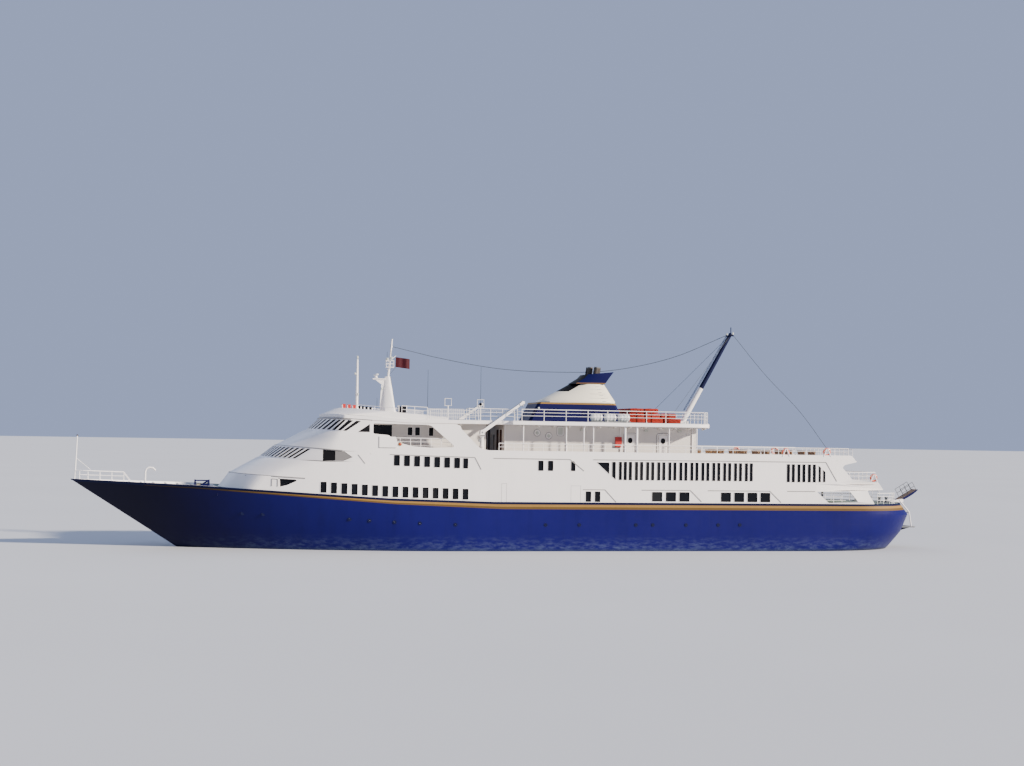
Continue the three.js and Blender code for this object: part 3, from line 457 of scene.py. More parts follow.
def finish(name):
    """The material of a finish, made when it is first asked for."""
    if name not in FINISHES:
        colours = bpy.context.scene.ferry_colours
        recipes = {
            "hull": (hull_blue, colours.hull),
            # Painted shade: a darker copy of the stripe paint for the stripe's lower row, under its rounded
            # face; both gold finishes also darken towards the bow as painted shade.
            "gold_edge": (paint, shade(colours.gold, 0.4), 0.5, 0.25, False, 0.0, 0.2, 0.85),
            "navy": (paint, colours.navy, 0.45, 0.2, False, 0.0, 0.12),
            "gold": (paint, colours.gold, 0.45, 0.25, False, 0.0, 0.2, 0.85),
            "antifouling": (antifouling,),
            "white": (paint, colours.house, 0.42, 0.13),
            "trim": (paint, shade(colours.house, 1.04), 0.38, 0.1, False),
            "cream": (paint, colours.cream, 0.5, 0.16),
            # Painted shade: a dark copy of the house paint, for the shaded wall inside an opening.
            "grey": (paint, shade(colours.house, 0.2), 0.6, 0.2, False, 0.0),
            "shadow_line": (paint, shade(colours.house, 0.3), 0.6, 0.2, False, 0.0),
            "casing": (paint, colours.casing, 0.45, 0.2, True, 0.0, 0.12),
            "funnel": (paint, colours.funnel, 0.42, 0.14),
            "black": (glass, (0.004, 0.004, 0.005, 1.0), 0.08, 0.55),
            "flag": (cover_cloth, (0.055, 0.003, 0.009, 1.0)),
            "soot": (metal, (0.05, 0.045, 0.04, 1.0), 0.6, 0.4, 0.5),
            "red": (paint, (0.42, 0.02, 0.015, 1.0), 0.35, 0.15, False, 0.3),
            "green": (paint, (0.01, 0.22, 0.06, 1.0), 0.35, 0.15, False, 0.3),
            "glass": (glass,),
            "brown": (paint, (0.06, 0.02, 0.015, 1.0), 0.6, 0.3, False, 0.0, 0.1),
            "lamp_lens": (shell_gloss, (0.55, 0.57, 0.5, 1.0)),
            "deck": (deck_covering, colours.deck),
            "planks": (planks, (0.30, 0.21, 0.13, 1.0)),
            "seat_wood": (wood, (0.34, 0.20, 0.10, 1.0)),
            "cover": (cover_cloth, colours.cover),
            "buoy": (shell_gloss, (0.72, 0.10, 0.03, 1.0)),
            "band": (shell_gloss, (0.85, 0.84, 0.8, 1.0)),
            "canister": (shell_gloss, (0.72, 0.73, 0.72, 1.0)),
            "steel": (metal, (0.30, 0.31, 0.32, 1.0)),
            "bare_steel": (metal, (0.55, 0.55, 0.54, 1.0), 0.35, 0.85, 0.08),
            "winch_grey": (metal, (0.16, 0.17, 0.18, 1.0), 0.55, 0.3, 0.45),
            "bronze": (metal, (0.60, 0.40, 0.16, 1.0), 0.3, 0.95, 0.12),
            "wire": (metal, (0.05, 0.055, 0.06, 1.0), 0.55, 0.5, 0.1),
            "rope": (cover_cloth, (0.42, 0.36, 0.25, 1.0)),
            "rubber": (deck_covering, (0.03, 0.03, 0.032, 1.0)),
            "floor": (pale_floor,),
        }
        maker, *settings = recipes[name]
        FINISHES[name] = maker(name, *settings)
    return FINISHES[name]


# Shapes

def rounded(outline, radius, steps=3):
    """A closed outline with each corner turned into a short curve."""
    found = []
    count = len(outline)
    for i, corner in enumerate(outline):
        before, after = Vector(outline[i - 1]), Vector(outline[(i + 1) % count])
        corner = Vector(corner)
        a = corner + (before - corner).normalized() * min(radius, (before - corner).length * 0.45)
        b = corner + (after - corner).normalized() * min(radius, (after - corner).length * 0.45)
        for k in range(steps + 1):
            t = k / steps
            found.append((1 - t) ** 2 * a + 2 * t * (1 - t) * corner + t ** 2 * b)
    return found


def grown(outline, margin):
    """A closed outline moved outwards by the margin."""
    points = [Vector(p) for p in outline]
    area = sum(a.x * b.y - b.x * a.y for a, b in zip(points, points[1:] + points[:1]))
    sign = 1 if area > 0 else -1
    found = []
    for i, point in enumerate(points):
        a = (point - points[i - 1]).normalized()
        b = (points[(i + 1) % len(points)] - point).normalized()
        normal = Vector((a.y + b.y, -a.x - b.x)) * sign
        length = max(normal.length, 0.3)
        found.append(point + normal / length * margin * min(2.0 / length, 1.5))
    return found


class Piece:
    """The faces of one visible piece, gathered in ship metres, each with its finish."""

    def __init__(self, name):
        self.name = name
        self.points = []
        self.faces = []

    def add(self, points, faces, look):
        start = len(self.points)
        self.points += [Vector(p) for p in points]
        for i, face in enumerate(faces):
            self.faces.append(([start + k for k in face], look(i) if callable(look) else look))

    def grid(self, rows, look, closed=False):
        """A skin through rows of points; look may be a function of row and column."""
        width = len(rows[0])
        spans = width if closed else width - 1
        faces = [
            (r * width + c, r * width + (c + 1) % width, (r + 1) * width + (c + 1) % width,
             (r + 1) * width + c)
            for r in range(len(rows) - 1) for c in range(spans)
        ]
        points = [p for row in rows for p in row]
        self.add(points, faces, (lambda i: look(i // spans, i % spans)) if callable(look) else look)

    def box(self, low, high, look):
        (x0, y0, z0), (x1, y1, z1) = low, high
        base = [(x0, y0), (x1, y0), (x1, y1), (x0, y1)]
        self.prism([(x, y, z0) for x, y in base], (0, 0, z1 - z0), look)

    def prism(self, outline, offset, look):
        """A closed outline carried along an offset."""
        count = len(outline)
        far = [Vector(p) + Vector(offset) for p in outline]
        faces = [tuple(range(count)), tuple(range(2 * count - 1, count - 1, -1))]
        faces += [(i, (i + 1) % count, (i + 1) % count + count, i + count) for i in range(count)]
        self.add([*outline, *far], faces, look)

    def tube(self, path, radius, look, sides=8, closed=False):
        """A round bar along a path; the radius may be a list, one for each point."""
        path = [Vector(p) for p in path]
        count = len(path)
        radii = radius if isinstance(radius, (list, tuple)) else [radius] * count
        rows = []
        side = None
        for i, point in enumerate(path):
            before = path[i - 1] if i or closed else point
            after = path[(i + 1) % count] if i + 1 < count or closed else point
            along = (after - before).normalized()
            if side is None:
                side = along.orthogonal().normalized()
            side = (side - along * side.dot(along)).normalized()
            up = along.cross(side)
            angles = [2 * math.pi * k / sides for k in range(sides)]
            rows.append([point + (side * math.cos(a) + up * math.sin(a)) * radii[i] for a in angles])
        if closed:
            self.grid([*rows, rows[0]], look, True)
            return
        self.grid(rows, look, True)
        self.add(rows[0], [range(sides - 1, -1, -1)], look)
        self.add(rows[-1], [range(sides)], look)

    def lathe(self, base, axis, profile, look, sides=20):
        """A turned form: profile has distances along the axis and radii."""
        axis = Vector(axis).normalized()
        self.tube([Vector(base) + axis * d for d, _ in profile], [max(r, 0.001) for _, r in profile], look,
                  sides)

    def hoop(self, centre, axis, radius, thick, look, steps=20, sides=6):
        axis = Vector(axis).normalized()
        a = axis.orthogonal().normalized()
        b = axis.cross(a)
        turns = [2 * math.pi * k / steps for k in range(steps)]
        path = [Vector(centre) + (a * math.cos(t) + b * math.sin(t)) * radius for t in turns]
        self.tube(path, thick, look, sides, closed=True)

    def fill(self, place, loops, depth, look):
        """A flat or curved sheet inside the first loop and outside the others."""
        flat = [[Vector((u, v, 0)) for u, v in loop] for loop in loops]
        points = [place(p.x, p.y, depth) for loop in flat for p in loop]
        self.add(points, [tuple(t) for t in tessellate_polygon(flat)], look)

    def sheet(self, place, outline, holes, thickness, look):
        """A plate with holes; place turns (u, v, depth) into a point."""
        loops = [outline, *holes]
        self.fill(place, loops, 0.0, look)
        self.fill(place, loops, thickness, look)
        for loop in loops:
            near = [place(u, v, 0.0) for u, v in loop]
            far = [place(u, v, thickness) for u, v in loop]
            self.grid([near, far], look, closed=True)

    def opening(self, place, outline, look="trim", pane="glass", recess=0.08, rim=0.045, proud=0.018):
        """The reveal, frame and pane of a window whose hole is already there."""
        edge = [place(u, v, 0.0) for u, v in outline]
        inner = [place(u, v, recess) for u, v in outline]
        self.grid([edge, inner], look, closed=True)
        self.fill(place, [outline], recess, pane)
        if rim:
            self.frame(place, outline, rim, proud, look)

    def frame(self, place, outline, margin, proud, look="trim"):
        """A raised frame round an outline."""
        wide = grown(outline, margin)
        loops = ((wide, 0.0), (wide, -proud), (outline, -proud), (outline, 0.0))
        self.grid([[place(u, v, d) for u, v in loop] for loop, d in loops], look, closed=True)

    def mirror_span(self, port, look):
        """A skin from a line on the port side to its mirror image."""
        self.grid([port, [mirrored(p, -1) for p in port]], look)

    def wall(self, place, low, high, stations, windows, look="white", **frame):
        """A skin from low(u) to high(u), cut by windows that each have a column to themselves."""
        spans = sorted(((min(p[0] for p in w), max(p[0] for p in w), w) for w in windows),
                       key=lambda s: s[0])
        cuts = [(a[1] + b[0]) / 2 for a, b in zip(spans, spans[1:])]
        first, last = stations[0], stations[-1]
        if spans:
            cuts += [max(first, spans[0][0] - 0.1), min(last, spans[-1][1] + 0.1)]
        free = [u for u in stations if all(not a - 0.05 < u < b + 0.05 for a, b, _ in spans)]
        columns = sorted(set(cuts + free + [first, last]))
        for u0, u1 in zip(columns, columns[1:]):
            if u1 - u0 < 1e-6:
                continue
            cell = [(u0, low(u0)), (u1, low(u1)), (u1, high(u1)), (u0, high(u0))]
            inside = [w for a, b, w in spans if a >= u0 - 1e-6 and b <= u1 + 1e-6]
            if not inside:
                self.add([place(u, v, 0.0) for u, v in cell], [(0, 1, 2, 3)], look)
                continue
            self.fill(place, [cell, *inside], 0.0, look)
            for outline in inside:
                self.opening(place, outline, **frame)

    def make(self, body="ship", replaced=(), angle=38, bevel=0.0):
        """The object itself, riding on its body in place of the frame's nodes."""
        mesh = bpy.data.meshes.new(self.name)
        mesh.from_pydata([p * SHIP for p in self.points], [], [face for face, _ in self.faces])
        names = sorted({look for _, look in self.faces})
        for name in names:
            mesh.materials.append(finish(name))
        mesh.polygons.foreach_set("material_index", [names.index(look) for _, look in self.faces])
        shape = bmesh.new()
        shape.from_mesh(mesh)
        bmesh.ops.dissolve_degenerate(shape, dist=1e-5, edges=shape.edges)
        bmesh.ops.remove_doubles(shape, verts=shape.verts, dist=2e-5)
        bmesh.ops.recalc_face_normals(shape, faces=shape.faces)
        for face in shape.faces:
            face.smooth = True
        limit = math.radians(angle)
        for edge in shape.edges:
            edge.smooth = len(edge.link_faces) == 2 and edge.calc_face_angle(0.0) < limit
        shape.to_mesh(mesh)
        shape.free()
        piece = bpy.data.objects.new(self.name, mesh)
        bpy.context.scene.collection.objects.link(piece)
        if bevel:
            modifier = piece.modifiers.new("edge", "BEVEL")
            modifier.width = bevel * SHIP
            modifier.segments = 2
            modifier.angle_limit = math.radians(50)
        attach(piece, body)
        if replaced:
            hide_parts(*replaced)
        return piece


class Front:
    """The rounded front of a house: levels from the floor up, and places from -1 to 1 round the nose."""

    STRAIGHT = 0.3

    def __init__(self, joint, half, levels):
        self.joint = joint
        self.half = half
        self.levels = levels

    def on_level(self, u, level):
        fore, nose, height = self.levels[level]
        start = fore - nose
        share = 1 - min(1.0, abs(u))
        if share < self.STRAIGHT:
            x = lerp(self.joint, start, share / self.STRAIGHT)
        else:
            x = start + nose * math.sin((share - self.STRAIGHT) / (1 - self.STRAIGHT) * math.pi / 2)
        along = clamp((fore - x) / nose)
        y = min(self.half * math.sqrt(max(0.0, 1 - (1 - along) ** 2)), max(0.0, side_of(x) - 0.02))
        return Vector((x, math.copysign(y, u), height(x)))

    def skin(self, u, v):
        level = int(clamp(v, 0, len(self.levels) - 2))
        return self.on_level(u, level).lerp(self.on_level(u, level + 1), v - level)

    def place(self, u, v, depth=0.0):
        point = self.skin(u, v)
        if not depth:
            return point
        step = 0.01
        across = self.skin(min(1, u + step), v) - self.skin(max(-1, u - step), v)
        up = self.skin(u, v + step) - self.skin(u, v - step)
        normal = across.cross(up).normalized()
        if normal.dot(point - Vector((self.joint - 4, 0, point.z))) < 0:
            normal = -normal
        return point - normal * depth

    def turn(self, x, v):
        """The place round the port side that has this x."""
        low, high = 0.0, 1.0
        for _ in range(30):
            middle = (low + high) / 2
            if self.skin(middle, v).x > x:
                low = middle
            else:
                high = middle
        return low


def on_side(sign, half=wall_y):
    """Turns (x, z, depth) into a point of the ship's flat side."""
    def place(x, z, depth=0.0):
        return Vector((x, sign * (half(x) - depth), z))
    return place


def flat_side(y):
    return lambda x: y


def oblong(x, z, width, height, radius=0.07):
    """A window's outline from its centre and size."""
    w, h = width / 2, height / 2
    return rounded([(x - w, z - h), (x + w, z - h), (x + w, z + h), (x - w, z + h)], radius)


def rail(piece, path, height=1.0, bars=(0.36, 0.69, 1.0), pitch=None):
    """Stanchions along a path with round bars between them."""
    sizes = bpy.context.scene.ferry_sizes
    pitch = pitch or sizes.stanchion_pitch
    path = [Vector(p) for p in path]
    for share in bars:
        radius = sizes.rail_radius * (1.25 if share == bars[-1] else 0.8)
        piece.tube([p + Vector((0, 0, share * height)) for p in path], radius, "trim", 6)
    for a, b in zip(path, path[1:]):
        count = max(1, round((b - a).length / pitch))
        for k in range(count + (b is path[-1])):
            foot = a.lerp(b, k / count)
            piece.tube([foot, foot + Vector((0, 0, height))], sizes.rail_radius, "trim", 6)
            piece.lathe(foot, UP, [(0, 0.07), (0.03, 0.07), (0.03, 0.03)], "trim", 8)


def hull_side(x, z):
    """The point of the ship's side at this x and height, to port."""
    low, high = STERN_X, BOW_X
    for _ in range(30):
        middle = (low + high) / 2
        if hull_at(middle, rise_level(clamp(z / sheer(middle)))).x < x:
            low = middle
        else:
            high = middle
    return hull_at(low, rise_level(clamp(z / sheer(low))))


def mirrored(point, sign):
    return Vector((point.x, sign * point.y, point.z))


def side_box(piece, sign, low, high, look):
    """A box given for the port side and put on the side of the sign."""
    near, far = sorted((sign * low[1], sign * high[1]))
    piece.box((low[0], near, low[2]), (high[0], far, high[2]), look)


def line_on(piece, place, points, radius=0.045):
    """A thin dark line on a wall: painted shadow along a step or joint in it."""
    for a, b in zip(points, points[1:]):
        steps = max(1, int(abs(b[0] - a[0]) / 2))
        path = [place(lerp(a[0], b[0], k / steps), lerp(a[1], b[1], k / steps), 0.002)
                for k in range(steps + 1)]
        piece.tube(path, radius, "shadow_line", 4)


# Hull

HULL_PORTS = ((-1.64, 2.31), (-4.7, 2.32), (-9.89, 2.33), (-11.46, 2.34), (-14.56, 2.34), (-17.6, 2.35),
              (-19.66, 2.36), (22.76, 3.05), (24.47, 3.1), (6.39, 2.31), (9.5, 2.42), (11.69, 2.51),
              (13.83, 2.62), (15.52, 2.73))


def build_hull():
    piece = Piece("hull_skin")
    stations = sorted(densified(HULL_STATIONS, 3) + [FOREDECK_X])
    fixed = [0, 0.5, 1, 1.5, 2, 2.5, 3, 3.5, 4, 4.12, 4.3, 4.55, 4.8, 5, 5.33, 5.67, 6, 6.2]
    gold_row = len(fixed)

    def look(r, c):
        if r < 8:
            return "antifouling"
        # The stripe's lower row takes the darker gold, painted shade under the stripe's rounded face.
        if r in (gold_row, gold_row + 1) and stations[c] < 32.5:
            return "gold_edge" if r == gold_row else "gold"
        return "navy" if r >= gold_row else "hull"

    def levels(station):
        height = sheer(station)
        band = 0.42 * clamp((36.0 - station) / 33, 0.02)
        # The stripe is split in two rows so that its lower half can carry the painted shade.
        return fixed + [rise_level(1 - (0.16 + part * band) / height) for part in (1, 0.5, 0)] + [7.0]

    sides = {}
    for name, sign in SIDES:
        columns = [[mirrored(hull_at(s, level), sign) for level in levels(s)] for s in stations]
        rows = [list(row) for row in zip(*columns)]
        piece.grid(rows, look)
        sides[name] = rows
        edge = [mirrored(hull_at(s, 7.0), sign) for s in stations]
        piece.tube(edge, 0.055, "navy", 6)
    piece.grid([sides["port"][0], sides["starboard"][0]], "antifouling")
    after = [i for i, s in enumerate(stations) if s <= FOREDECK_X]
    piece.grid([[sides[name][-1][i] for i in after] for name, _ in SIDES], "deck")
    for x, z in HULL_PORTS:
        for _, sign in SIDES:
            spot = mirrored(hull_side(x, z), sign)
            out = Vector((0, sign, 0))
            piece.lathe(spot - out * 0.02, out, [(0, 0.16), (0.05, 0.16), (0.06, 0.13), (0.035, 0.115)],
                        "navy", 16)
            # Lenses between x 3 and 16 are white, painted glints; the other portholes get glass.
            piece.lathe(spot - out * 0.02, out, [(0, 0.115), (0.052, 0.115), (0.056, 0.0)],
                        "trim" if 3 < x < 16 else "glass", 16)
    build_bow(piece, [s for s in stations if s >= FOREDECK_X])
    piece.make(replaced=("hull", "bow_bulwark_port", "bow_bulwark_starboard"))


def build_bow(piece, stations):
    """Bulwark, its brackets and cap, and the foredeck inside it."""
    def inboard(station, height, margin=0.22):
        point = hull_at(station, rise_level(height / sheer(station)))
        return Vector((point.x, max(0.0, point.y - margin), height))

    decks = []
    for _, sign in SIDES:
        outer = [mirrored(hull_at(s, 7.0), sign) for s in stations]
        top = [mirrored(inboard(s, sheer(s)), sign) for s in stations]
        foot = [mirrored(inboard(s, FOREDECK_Z), sign) for s in stations]
        lift = Vector((0, 0, 0.06))
        piece.grid([outer, [p + lift for p in outer], [p + lift for p in top], top], "trim")
        piece.grid([top, foot], "trim")
        decks.append(foot)
        reach = int((37.0 - FOREDECK_X) / 1.05)
        for k in range(1, reach):
            station = FOREDECK_X + 1.05 * k
            high, low = (mirrored(inboard(station, z, m), sign)
                         for z, m in ((sheer(station), 0.24), (FOREDECK_Z, 0.2)))
            toe = mirrored(inboard(station, FOREDECK_Z, 0.62), sign)
            knee = high + (toe - low) * 0.35
            piece.prism([high, knee, toe, low], (0.05, 0, 0), "trim")
    piece.grid(decks, "deck")
    side = decks[0][0].y
    step = [(FOREDECK_X, -side, FOREDECK_Z), (FOREDECK_X, side, FOREDECK_Z),
            (FOREDECK_X, side, sheer(FOREDECK_X)), (FOREDECK_X, -side, sheer(FOREDECK_X))]
    piece.add(step, [(0, 1, 2, 3)], "white")


# Houses

def side_stations(aft, fore):
    bends = (-24, -18, -12, -6, 0, 3, 6, 9, 12.2, 12.8, 13.6, 14.4, 15.2, 16, 16.8, 17.6, 18.4)
    return [aft] + [x for x in bends if aft + 0.1 < x < fore - 0.1] + [fore]


def round_front(piece, front, bands):
    """The plain skin of a rounded front: bands of levels with a finish each."""
    stations = [-1 + 2 * k / 56 for k in range(57)]
    for low, high, look in bands:
        steps = max(1, round((high - low) * 3))
        rows = [[front.place(u, lerp(low, high, k / steps)) for u in stations] for k in range(steps + 1)]
        piece.grid(rows, look)


def striped_band(piece, front, count, ends, low, high, after=(), share=0.55, **frame):
    """The top band of a front: raked windows round its nose, and the side aft of them with its openings."""
    floor = int(low)
    reach = (front.turn(ends[0], low), front.turn(ends[1], high)) if count else (0.0, 0.0)

    def edge(v):
        return lerp(*reach, (v - low) / (high - low))

    def nose(s, v, depth=0.0):
        return front.place(s * edge(v), v, depth)

    if count:
        outlines = []
        for k in range(-count, count):
            a, b = (k + 0.5 - share / 2) / count, (k + 0.5 + share / 2) / count
            outlines.append([(a, low), (b, low), (b, high), (a, high)])
        piece.wall(nose, lambda s: floor, lambda s: floor + 1, [-1, 1], outlines, **frame)
    for _, sign in SIDES:
        def side(s, v, depth=0.0):
            return front.place(sign * lerp(edge(v), 1.0, s), v, depth)
        holes = [[((front.turn(x, v) - edge(v)) / (1 - edge(v)), v) for x, v in hole] for hole in after]
        steps = 8 if count else 40
        stations = [k / steps for k in range(steps + 1)]
        piece.wall(side, lambda s: floor, lambda s: floor + 1, stations, holes, **frame)


def build_lower_house():
    piece = Piece("lower_house")
    front = Front(19.0, 6.38, [(26.35, 5.6, sheer), (25.45, 5.6, lower_deck)])
    # The shelter is an open passage; the dark glass deep inside its opening is painted shade.
    shelter = [(21.5, 0.87), (20.2, 0.88), (20.05, 0.8), (20.9, 0.46), (21.5, 0.32)]
    striped_band(piece, front, 0, (), 0.01, 0.99, [shelter], recess=0.45, rim=0)
    for _, sign in SIDES:
        for frame in (((22.15, 0.34), (22.15, 0.82), (21.66, 0.82), (21.66, 0.34)),
                      ((24.3, 0.9), (21.5, 0.89))):
            path = [front.place(sign * front.turn(x, v), v, -0.01) for x, v in frame]
            piece.tube(path, 0.04, "shadow_line", 5)
        place = on_side(sign)
        windows = []
        for k in range(15):
            x = 17.82 - 0.8764 * k
            windows.append(oblong(x, sheer(x) + 0.62, 0.53, 0.94))
        windows += [oblong(x, 4.81, 0.52, 0.94) for x in (-5.49, -6.33)]
        windows += [oblong(x, 4.84, 0.98, 0.86)
                    for x in (-11.83, -13.12, -14.38, -18.31, -19.57, -20.83, -22.07)]
        piece.wall(place, sheer, lower_deck, side_stations(-27, 19.0), windows)
        for run in (((-5.0, 5.42), (-7.01, 5.42), (-8.03, 4.35)),
                    ((-10.4, 5.42), (-14.95, 5.42), (-16.0, 4.42)),
                    ((-16.6, 5.42), (-22.5, 5.42), (-23.6, 4.4)), ((-24.2, 5.42), (-26.9, 5.42))):
            line_on(piece, place, run)
        for fore, aft, top in ((-4.78, -3.9, 5.75), (2.35, 1.9, 5.9)):
            line_on(piece, place, [(fore, 4.3), (fore, top), (aft, top), (aft, 4.3)], radius=0.014)
    bulkhead(piece, -27, 6.36, sheer(-27), 6.1, -1)
    piece.make(replaced=("main_house",))


def bulkhead(piece, x, half, low, high, facing, doors=(0.0,), windows=(), look="white"):
    """A flat wall across the ship with doors and windows; facing is 1 to the bow and -1 to the stern."""
    def place(y, z, depth=0.0):
        return Vector((x - facing * depth, y, z))
    top = min(high - 0.12, low + 2.0)
    outlines = [oblong(y, (low + 0.12 + top) / 2, 0.8, top - low - 0.12, 0.12) for y in doors]
    outlines += [oblong(y, low + 1.3, w, 0.8, 0.1) for y, w in windows]
    piece.wall(place, lambda y: low, lambda y: high, [-half, half], outlines, look)


def build_upper_house():
    piece = Piece("upper_house_skin")
    front = Front(15.0, 6.38, [
        (25.42, 6.4, lower_deck), (23.05, 6.4, lambda x: lower_deck(x) + 1.46),
        (22.9, 6.3, lambda x: lower_deck(x) + 1.52), (21.55, 5.6, bridge_floor)])
    round_front(piece, front, [(0, 1, "white"), (1, 2, "trim")])
    # The shelter opening's black pane is painted shade of the dark doorway behind it; the raked windows get
    # black glass.
    shelter = [(17.93, 2.93), (16.1, 2.93), (15.41, 2.45), (16.2, 2.08), (17.93, 2.08)]
    striped_band(piece, front, 11, (20.1, 18.8), 2.1, 2.93, [shelter], 0.6, recess=0.03, rim=0, pane="black")
    for _, sign in SIDES:
        place = on_side(sign)
        rows = [oblong(11.6 - 0.877 * k, 7.79 - 0.026 * k, 0.54, 0.92) for k in range(7)]
        rows.append(oblong(5.58, 7.61, 0.46, 0.9))
        rows += [oblong(x, 7.48, 0.5, 0.9) for x in (-1.14, -2.02)]
        rows.append(rounded([(-3.86, 7.04), (-3.86, 7.92), (-4.14, 7.92), (-4.28, 7.72), (-4.28, 7.04)],
                            0.06))
        rows.append(rounded([(-6.2, 7.84), (-7.38, 7.84), (-7.38, 6.78)], 0.06))
        rows.append(rounded([(-7.62, 7.9), (-7.98, 7.9), (-7.98, 6.3), (-7.62, 6.6)], 0.06))
        rows.append(oblong(-8.4, 7.1, 0.3, 1.62, 0.05))
        for count, first, pitch, z, width, gap in ((12, -8.85, 1.035, 7.1, 0.32, 0.47),
                                                   (3, -24.28, 1.02, 7.06, 0.33, 0.48)):
            for k in range(count):
                rows += [oblong(x, z, width, 1.64, 0.05)
                         for x in (first - pitch * k, first - pitch * k - gap)]
        for fore, top, low in ((-27.2, 7.8, 7.6), (-27.64, 7.42, 7.2)):
            rows.append(rounded([(fore, 6.26), (fore, top), (fore - 0.26, low), (fore - 0.26, 6.26)], 0.05))
        piece.wall(place, lambda x: 6.1, lambda x: 8.3, side_stations(-29, 15.0), rows, rim=0.03)
        for run in (((12.2, 8.3), (4.76, 8.13), (4.2, 7.1)), ((3.1, 8.08), (-3.77, 8.06), (-5.06, 7.06)),
                    ((-5.9, 8.06), (-27.93, 8.08), (-29.0, 6.35)), ((14.95, 8.25), (14.34, 7.5))):
            line_on(piece, place, run)
        patch = ((13.9, 8.3), (15.0, 8.3), (15.0, 8.5), (13.9, 8.5))
        piece.add([place(x, z) for x, z in patch], [(0, 1, 2, 3)], "white")
        # Painted shade: a grey sheet for the shaded wall inside the shelter opening.
        grey = [(16.88, 2.92), (16.14, 2.92), (15.48, 2.45), (16.24, 2.09), (16.88, 2.09)]
        piece.fill(lambda u, v, d: front.place(sign * u, v, d), [[(front.turn(x, v), v) for x, v in grey]],
                   0.02, "grey")
    piece.tube([front.place(k / 40, 0.0) for k in range(-27, 28)], 0.05, "shadow_line", 6)
    bulkhead(piece, -29, 6.36, 6.1, 7.9, -1, (-3.2, 0.0, 3.2),
             ((-4.8, 1.3), (4.8, 1.3), (-1.6, 1.3), (1.6, 1.3)))
    piece.make(replaced=("upper_front", "upper_house"))


AFTER_SIDE = ((-29.0, 8.3), (-30.85, 8.3), (-31.0, 8.14), (-29.78, 7.86), (-29.56, 7.62), (-30.55, 6.51),
              (-33.28, 6.3), (-33.9, 5.6), (-32.07, 5.54), (-32.3, 5.1), (-32.9, 4.27), (-27.0, 4.27),
              (-27.0, 6.1), (-29.0, 6.1))
MOORING_OPENING = ((-27.06, 5.4), (-30.3, 5.46), (-31.15, 4.5), (-28.22, 4.4))


def build_after_side():
    piece = Piece("after_terrace_skin")
    for _, sign in SIDES:
        hole = rounded(MOORING_OPENING, 0.12)
        piece.sheet(on_side(sign), rounded(AFTER_SIDE, 0.1, 2), [hole], 0.12, "white")
    half = [(x, wall_y(x) - 0.1) for x in (-33.4, -32.6, -31.8, -31, -30, -29)]
    port = [Vector((x, y, 6.1)) for x, y in half]
    piece.mirror_span(port, "planks")
    under = [Vector((max(p.x, -32.1), p.y, 5.56)) for p in port] + [Vector((-27, 6.2, 5.56))]
    piece.mirror_span(under, "white")
    rim = [port[0], Vector((-33.88, port[0].y - 0.12, 5.62)), Vector((-32.1, 6.1, 5.55))]
    piece.mirror_span(rim, "white")
    for x in (-28.6, -30.4):
        piece.tube([(x, 0, 4.25), (x, 0, 5.58)], 0.11, "trim", 12)
    for _, sign in SIDES:
        rail(piece, [(-27.2, sign * 6.05, 4.27), (-31.4, sign * 5.85, 4.27)], 0.95, (0.36, 0.69, 1.0), 0.8)
    piece.make(replaced=("after_terrace", "mooring_screen_port", "mooring_screen_starboard"))


# Decks and side screens

def build_sun_deck():
    piece = Piece("sun_deck_skin")
    stations = [-30.95, -29.8, -20, -10, 0, 8, 12.8, 15.0]
    port = [Vector((x, wall_y(x) - 0.1, SUN_DECK_Z)) for x in stations]
    piece.mirror_span(port, "planks")
    tip = [Vector((-30.95, 6.27, 8.2)), Vector((-31.0, 6.27, 8.13)), Vector((-29.8, 6.27, 7.87)),
           Vector((-29.0, 6.27, 7.87))]
    piece.mirror_span(tip, "white")
    coaming = [Vector((-30.55, 6.2, 8.2)), Vector((-30.5, 6.2, 8.4)), Vector((-30.62, 6.2, 8.4)),
               Vector((-30.7, 6.2, 8.2))]
    piece.mirror_span(coaming, "trim")
    for x in (-29.3, -27.5):
        for y in (-4.2, 0, 4.2):
            piece.tube([(x, y, 6.1), (x, y, 7.9)], 0.06, "trim", 10)
    piece.make(replaced=("sun_deck",))


SCREEN = ((13.9, 8.3), (13.9, 11.19), (10.5, 11.01), (6.5, 11.01), (6.05, 10.85), (6.02, 10.6), (4.5, 9.1),
          (4.25, 8.92), (3.6, 8.77), (-30.45, 8.72), (-30.85, 8.3))
SIDE_OPENING = ((13.68, 10.95), (13.68, 10.06), (12.3, 9.95), (11.85, 9.42), (10.2, 9.02), (8.6, 8.92),
                (6.7, 8.98), (6.62, 9.12), (8.6, 10.8), (8.95, 10.9))


